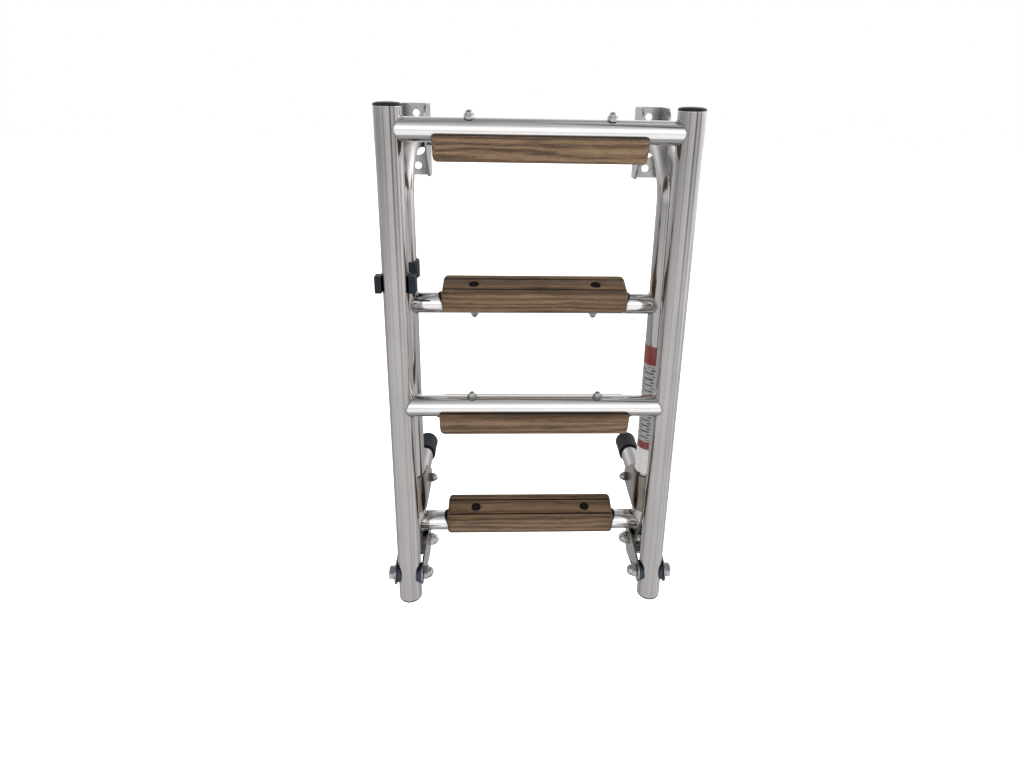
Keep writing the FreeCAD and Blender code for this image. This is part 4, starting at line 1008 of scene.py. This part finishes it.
# ----------------------------------------------------------
# Studio
# ----------------------------------------------------------
def make_studio():
    """White paper floor and a grey room: brightness by height, by compass turn, and darker behind and below."""
    scene = bpy.context.scene
    scene.view_settings.view_transform = "Standard"
    scene.view_settings.look = "None"
    world = bpy.data.worlds.new("studio")
    scene.world = world
    world.use_nodes = True
    nodes = Nodes(world.node_tree)
    output = nodes.add("ShaderNodeOutputWorld")
    direction = nodes.add("ShaderNodeTexCoord").outputs["Generated"]
    parts = nodes.add("ShaderNodeSeparateXYZ", in_0=direction)
    height = nodes.span(parts.outputs[2], -1.0, 1.0, 0.0, 1.0)
    around = nodes.math("ARCTAN2", parts.outputs[0], nodes.math("MULTIPLY", parts.outputs[1], -1.0))
    turn = nodes.span(around, -math.pi, math.pi, 0.0, 1.0)

    def greys(*stops):
        return [(place, (value, value, value)) for place, value in stops]

    # Straight down, through the pale wall at eye level, to straight up
    by_height = nodes.ramp(height, greys(
        (0.0, 0.34), (0.10, 0.40), (0.145, 0.92), (0.34, 0.98), (0.41, 0.86), (0.46, 0.74), (0.52, 0.86),
        (0.58, 1.30), (0.70, 1.20), (0.78, 0.84), (0.84, 0.62), (0.90, 0.46), (1.0, 0.34)))
    # Once round the room, with two dark gaps between the soft panels and the brightest panel to the right
    by_turn = nodes.ramp(turn, greys(
        (0.0, 0.80), (0.10, 0.98), (0.18, 0.80), (0.26, 0.70), (0.34, 0.80), (0.40, 0.95), (0.413, 0.60),
        (0.43, 0.62), (0.445, 1.12), (0.52, 1.20), (0.555, 1.15), (0.568, 0.30), (0.592, 0.30), (0.603, 1.00),
        (0.655, 1.05), (0.668, 0.55), (0.690, 0.60), (0.705, 1.35), (0.80, 1.95), (0.86, 1.80), (0.90, 1.00),
        (1.0, 0.80)))
    fade = nodes.span(height, 0.28, 0.45, 0.25, 1.0)
    lit = nodes.mix(1.0, by_height, nodes.mix(fade, (1.05, 1.05, 1.05), by_turn), "MULTIPLY")
    behind = nodes.ramp(nodes.span(parts.outputs[1], -1.0, 1.0, 0.0, 1.0),
                        greys((0.0, 1.0), (0.50, 1.0), (0.60, 0.62), (1.0, 0.52)))
    below = nodes.span(height, 0.42, 0.36, 0.0, 1.0)
    lit = nodes.mix(1.0, lit, nodes.mix(below, (1.0, 1.0, 1.0), behind), "MULTIPLY")
    seen = nodes.add("ShaderNodeLightPath").outputs["Is Camera Ray"]
    colour = nodes.mix(seen, lit, (1.0, 1.0, 1.0))
    background = nodes.add("ShaderNodeBackground", in_Color=colour, in_Strength=1.0)
    nodes.link(background.outputs[0], output.inputs[0])

    mesh = bpy.data.meshes.new("floor")
    size, level = 14.0, -1.25
    mesh.from_pydata([(-size, -size, level), (size, -size, level), (size, size, level), (-size, size, level)], [],
                     [(0, 1, 2, 3)])
    material, nodes, shader, where = new_material("floor_paper")
    tone = nodes.ramp(nodes.noise(where, 3.0), [(0.3, (0.93, 0.93, 0.93)), (0.7, (0.96, 0.96, 0.96))])
    nodes.link(tone, shader.inputs["Base Color"])
    shader.inputs["Roughness"].default_value = 0.9
    shader.inputs["Emission Color"].default_value = (1, 1, 1, 1)
    shader.inputs["Emission Strength"].default_value = 1.0
    mesh.materials.append(material)
    floor = bpy.data.objects.new("floor", mesh)
    scene.collection.objects.link(floor)
    floor.visible_glossy = False

    target = Vector((0, -0.1, -0.2))
    for name, place, size, power in (
        ("key", (-1.1, -1.3, 1.3), 1.3, 16.0),
        ("fill", (1.5, -1.1, 0.7), 1.1, 8.0),
        ("rim", (0.3, 1.6, 1.2), 1.4, 10.0),
    ):
        data = bpy.data.lights.new(name, "AREA")
        data.shape = "SQUARE"
        data.size = size
        data.energy = power
        lamp = bpy.data.objects.new(name, data)
        aim = (target - Vector(place)).to_track_quat("-Z", "Y")
        lamp.matrix_world = Matrix.Translation(place) @ aim.to_matrix().to_4x4()
        lamp.visible_glossy = False
        scene.collection.objects.link(lamp)


# ----------------------------------------------------------
# The scene
# ----------------------------------------------------------
make_camera()
make_studio()
looks = make_materials()
make_rails(looks)
make_steps(looks)
make_sheet_parts(looks)
make_caps_and_legs(looks)
up = Vector((0, 0, 1))
back = Vector((0, 1, 0))
bracket_half = CHEEK + BRACKET_SHEET
link_half = CHEEK + LINK_SHEET
make_hinge_hardware("bracket", PIVOT["bracket_hinge"], "mounting_brackets", "upper_frame", bracket_half, back, looks)
make_hinge_hardware("upper_fold", PIVOT["upper_fold_hinge"], "fold_links", "upper_frame", link_half, up, looks)
make_hinge_hardware("lower_fold", PIVOT["lower_fold_hinge"], "fold_links", "lower_frame", link_half, up, looks)
make_leg_hardware(looks)
make_stop_screws(looks)
# The tread screws take the near-black recess material: painted shade of the holes they sit in
for node_name in ("upper_tread_screws", "lower_tread_screws"):
    screw_mesh = frame["nodes"][node_name].data
    screw_mesh.materials.clear()
    screw_mesh.materials.append(looks["recess"])
